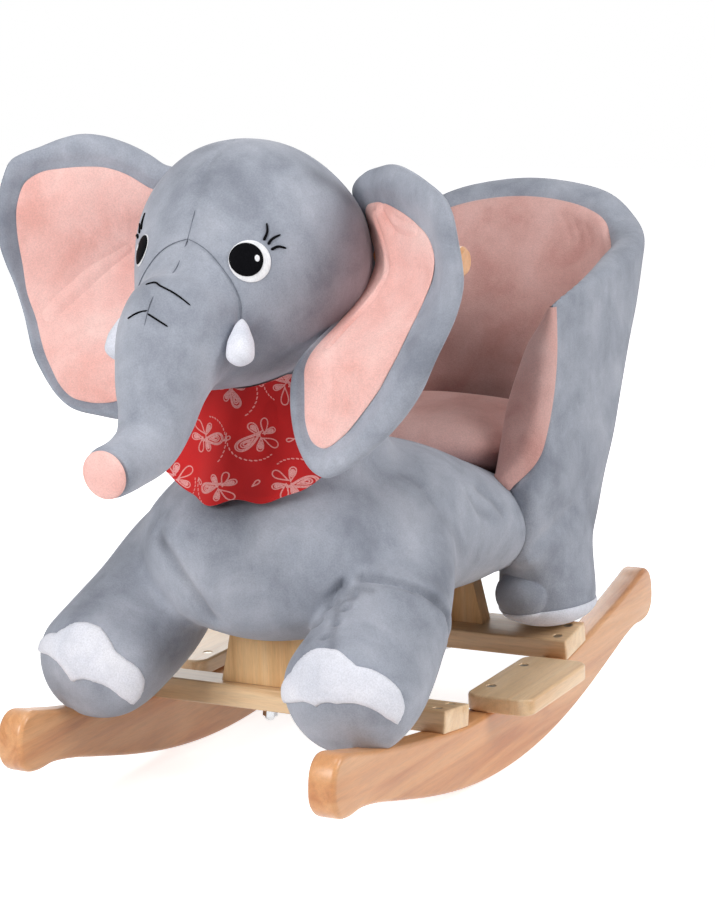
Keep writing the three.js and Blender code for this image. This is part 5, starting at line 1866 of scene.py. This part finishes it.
def camera_rays(tree):
    """One for rays from the camera, also where they are mirrored or pass through."""
    rays = add_node(tree, "LightPath").outputs
    total = rays["Is Camera Ray"]
    for name in ("Is Glossy Ray", "Is Transmission Ray"):
        node = add_node(tree, "Math", {0: total, 1: rays[name]}, operation="ADD", use_clamp=True)
        total = node.outputs[0]
    return total


# The camera sees the floor a little brighter, with its shadows kept: how far from the middle, how much
LIFT_FROM = (0.5, 0.74)
LIFT_TO = (1.6, 1.02)


def floor_material():
    material, tree, shader = new_material("floor")
    tint = ramp(tree, noise_at(tree, mapped(tree), 3, 2), (0, [0.93] * 3), (1, [0.97] * 3))
    set_inputs(tree, shader, {"Base Color": tint, "Roughness": 0.9})
    place = add_node(tree, "TexCoord").outputs["Object"]
    away = add_node(tree, "VectorMath", {0: place}, operation="LENGTH").outputs["Value"]
    lift = add_node(tree, "MapRange", {
        "Value": away,
        "From Min": LIFT_FROM[0],
        "From Max": LIFT_TO[0],
        "To Min": LIFT_FROM[1],
        "To Max": LIFT_TO[1],
    }).outputs["Result"]
    strength = add_node(tree, "Math", {0: camera_rays(tree), 1: lift}, operation="MULTIPLY")
    glow = add_node(tree, "Emission", {"Strength": strength.outputs[0]})
    both = add_node(tree, "AddShader", {0: shader.outputs["BSDF"], 1: glow.outputs["Emission"]})
    out = next(n for n in tree.nodes if n.type == "OUTPUT_MATERIAL")
    set_inputs(tree, out, {"Surface": both.outputs[0]})
    return material


floor()


def lamp(name, at, watts):
    data = bpy.data.lights.new(name, "AREA")
    data.shape = "SQUARE"
    data.size = LAMP_SIZE
    data.energy = watts
    obj = added(name, data)
    obj.location = at
    obj.rotation_mode = "QUATERNION"
    obj.rotation_quaternion = (Vector(AIM) - Vector(at)).to_track_quat("-Z", "Y")


AIM = (0, 0, 0.22)
LAMP_SIZE = 0.9
lamp("front", (-0.25, -1.79, 1.07), 23)
lamp("side", (1.72, 0.24, 1.22), 21)
lamp("top", (0, -0.2, 2.2), 11)
lamp("back", (-0.9, 1.7, 1.1), 7)

WHITE = (1, 1, 1, 1)
AMBIENT = 0.05
scene.world = bpy.data.worlds.new("studio")
scene.world.use_nodes = True
tree = scene.world.node_tree
tree.nodes.clear()
ambient = add_node(tree, "Background", {"Color": WHITE, "Strength": AMBIENT})
backdrop = add_node(tree, "Background", {"Color": WHITE, "Strength": 1.0})
mix = add_node(tree, "MixShader", {0: camera_rays(tree), 1: ambient.outputs[0], 2: backdrop.outputs[0]})
add_node(tree, "OutputWorld", {"Surface": mix.outputs[0]})
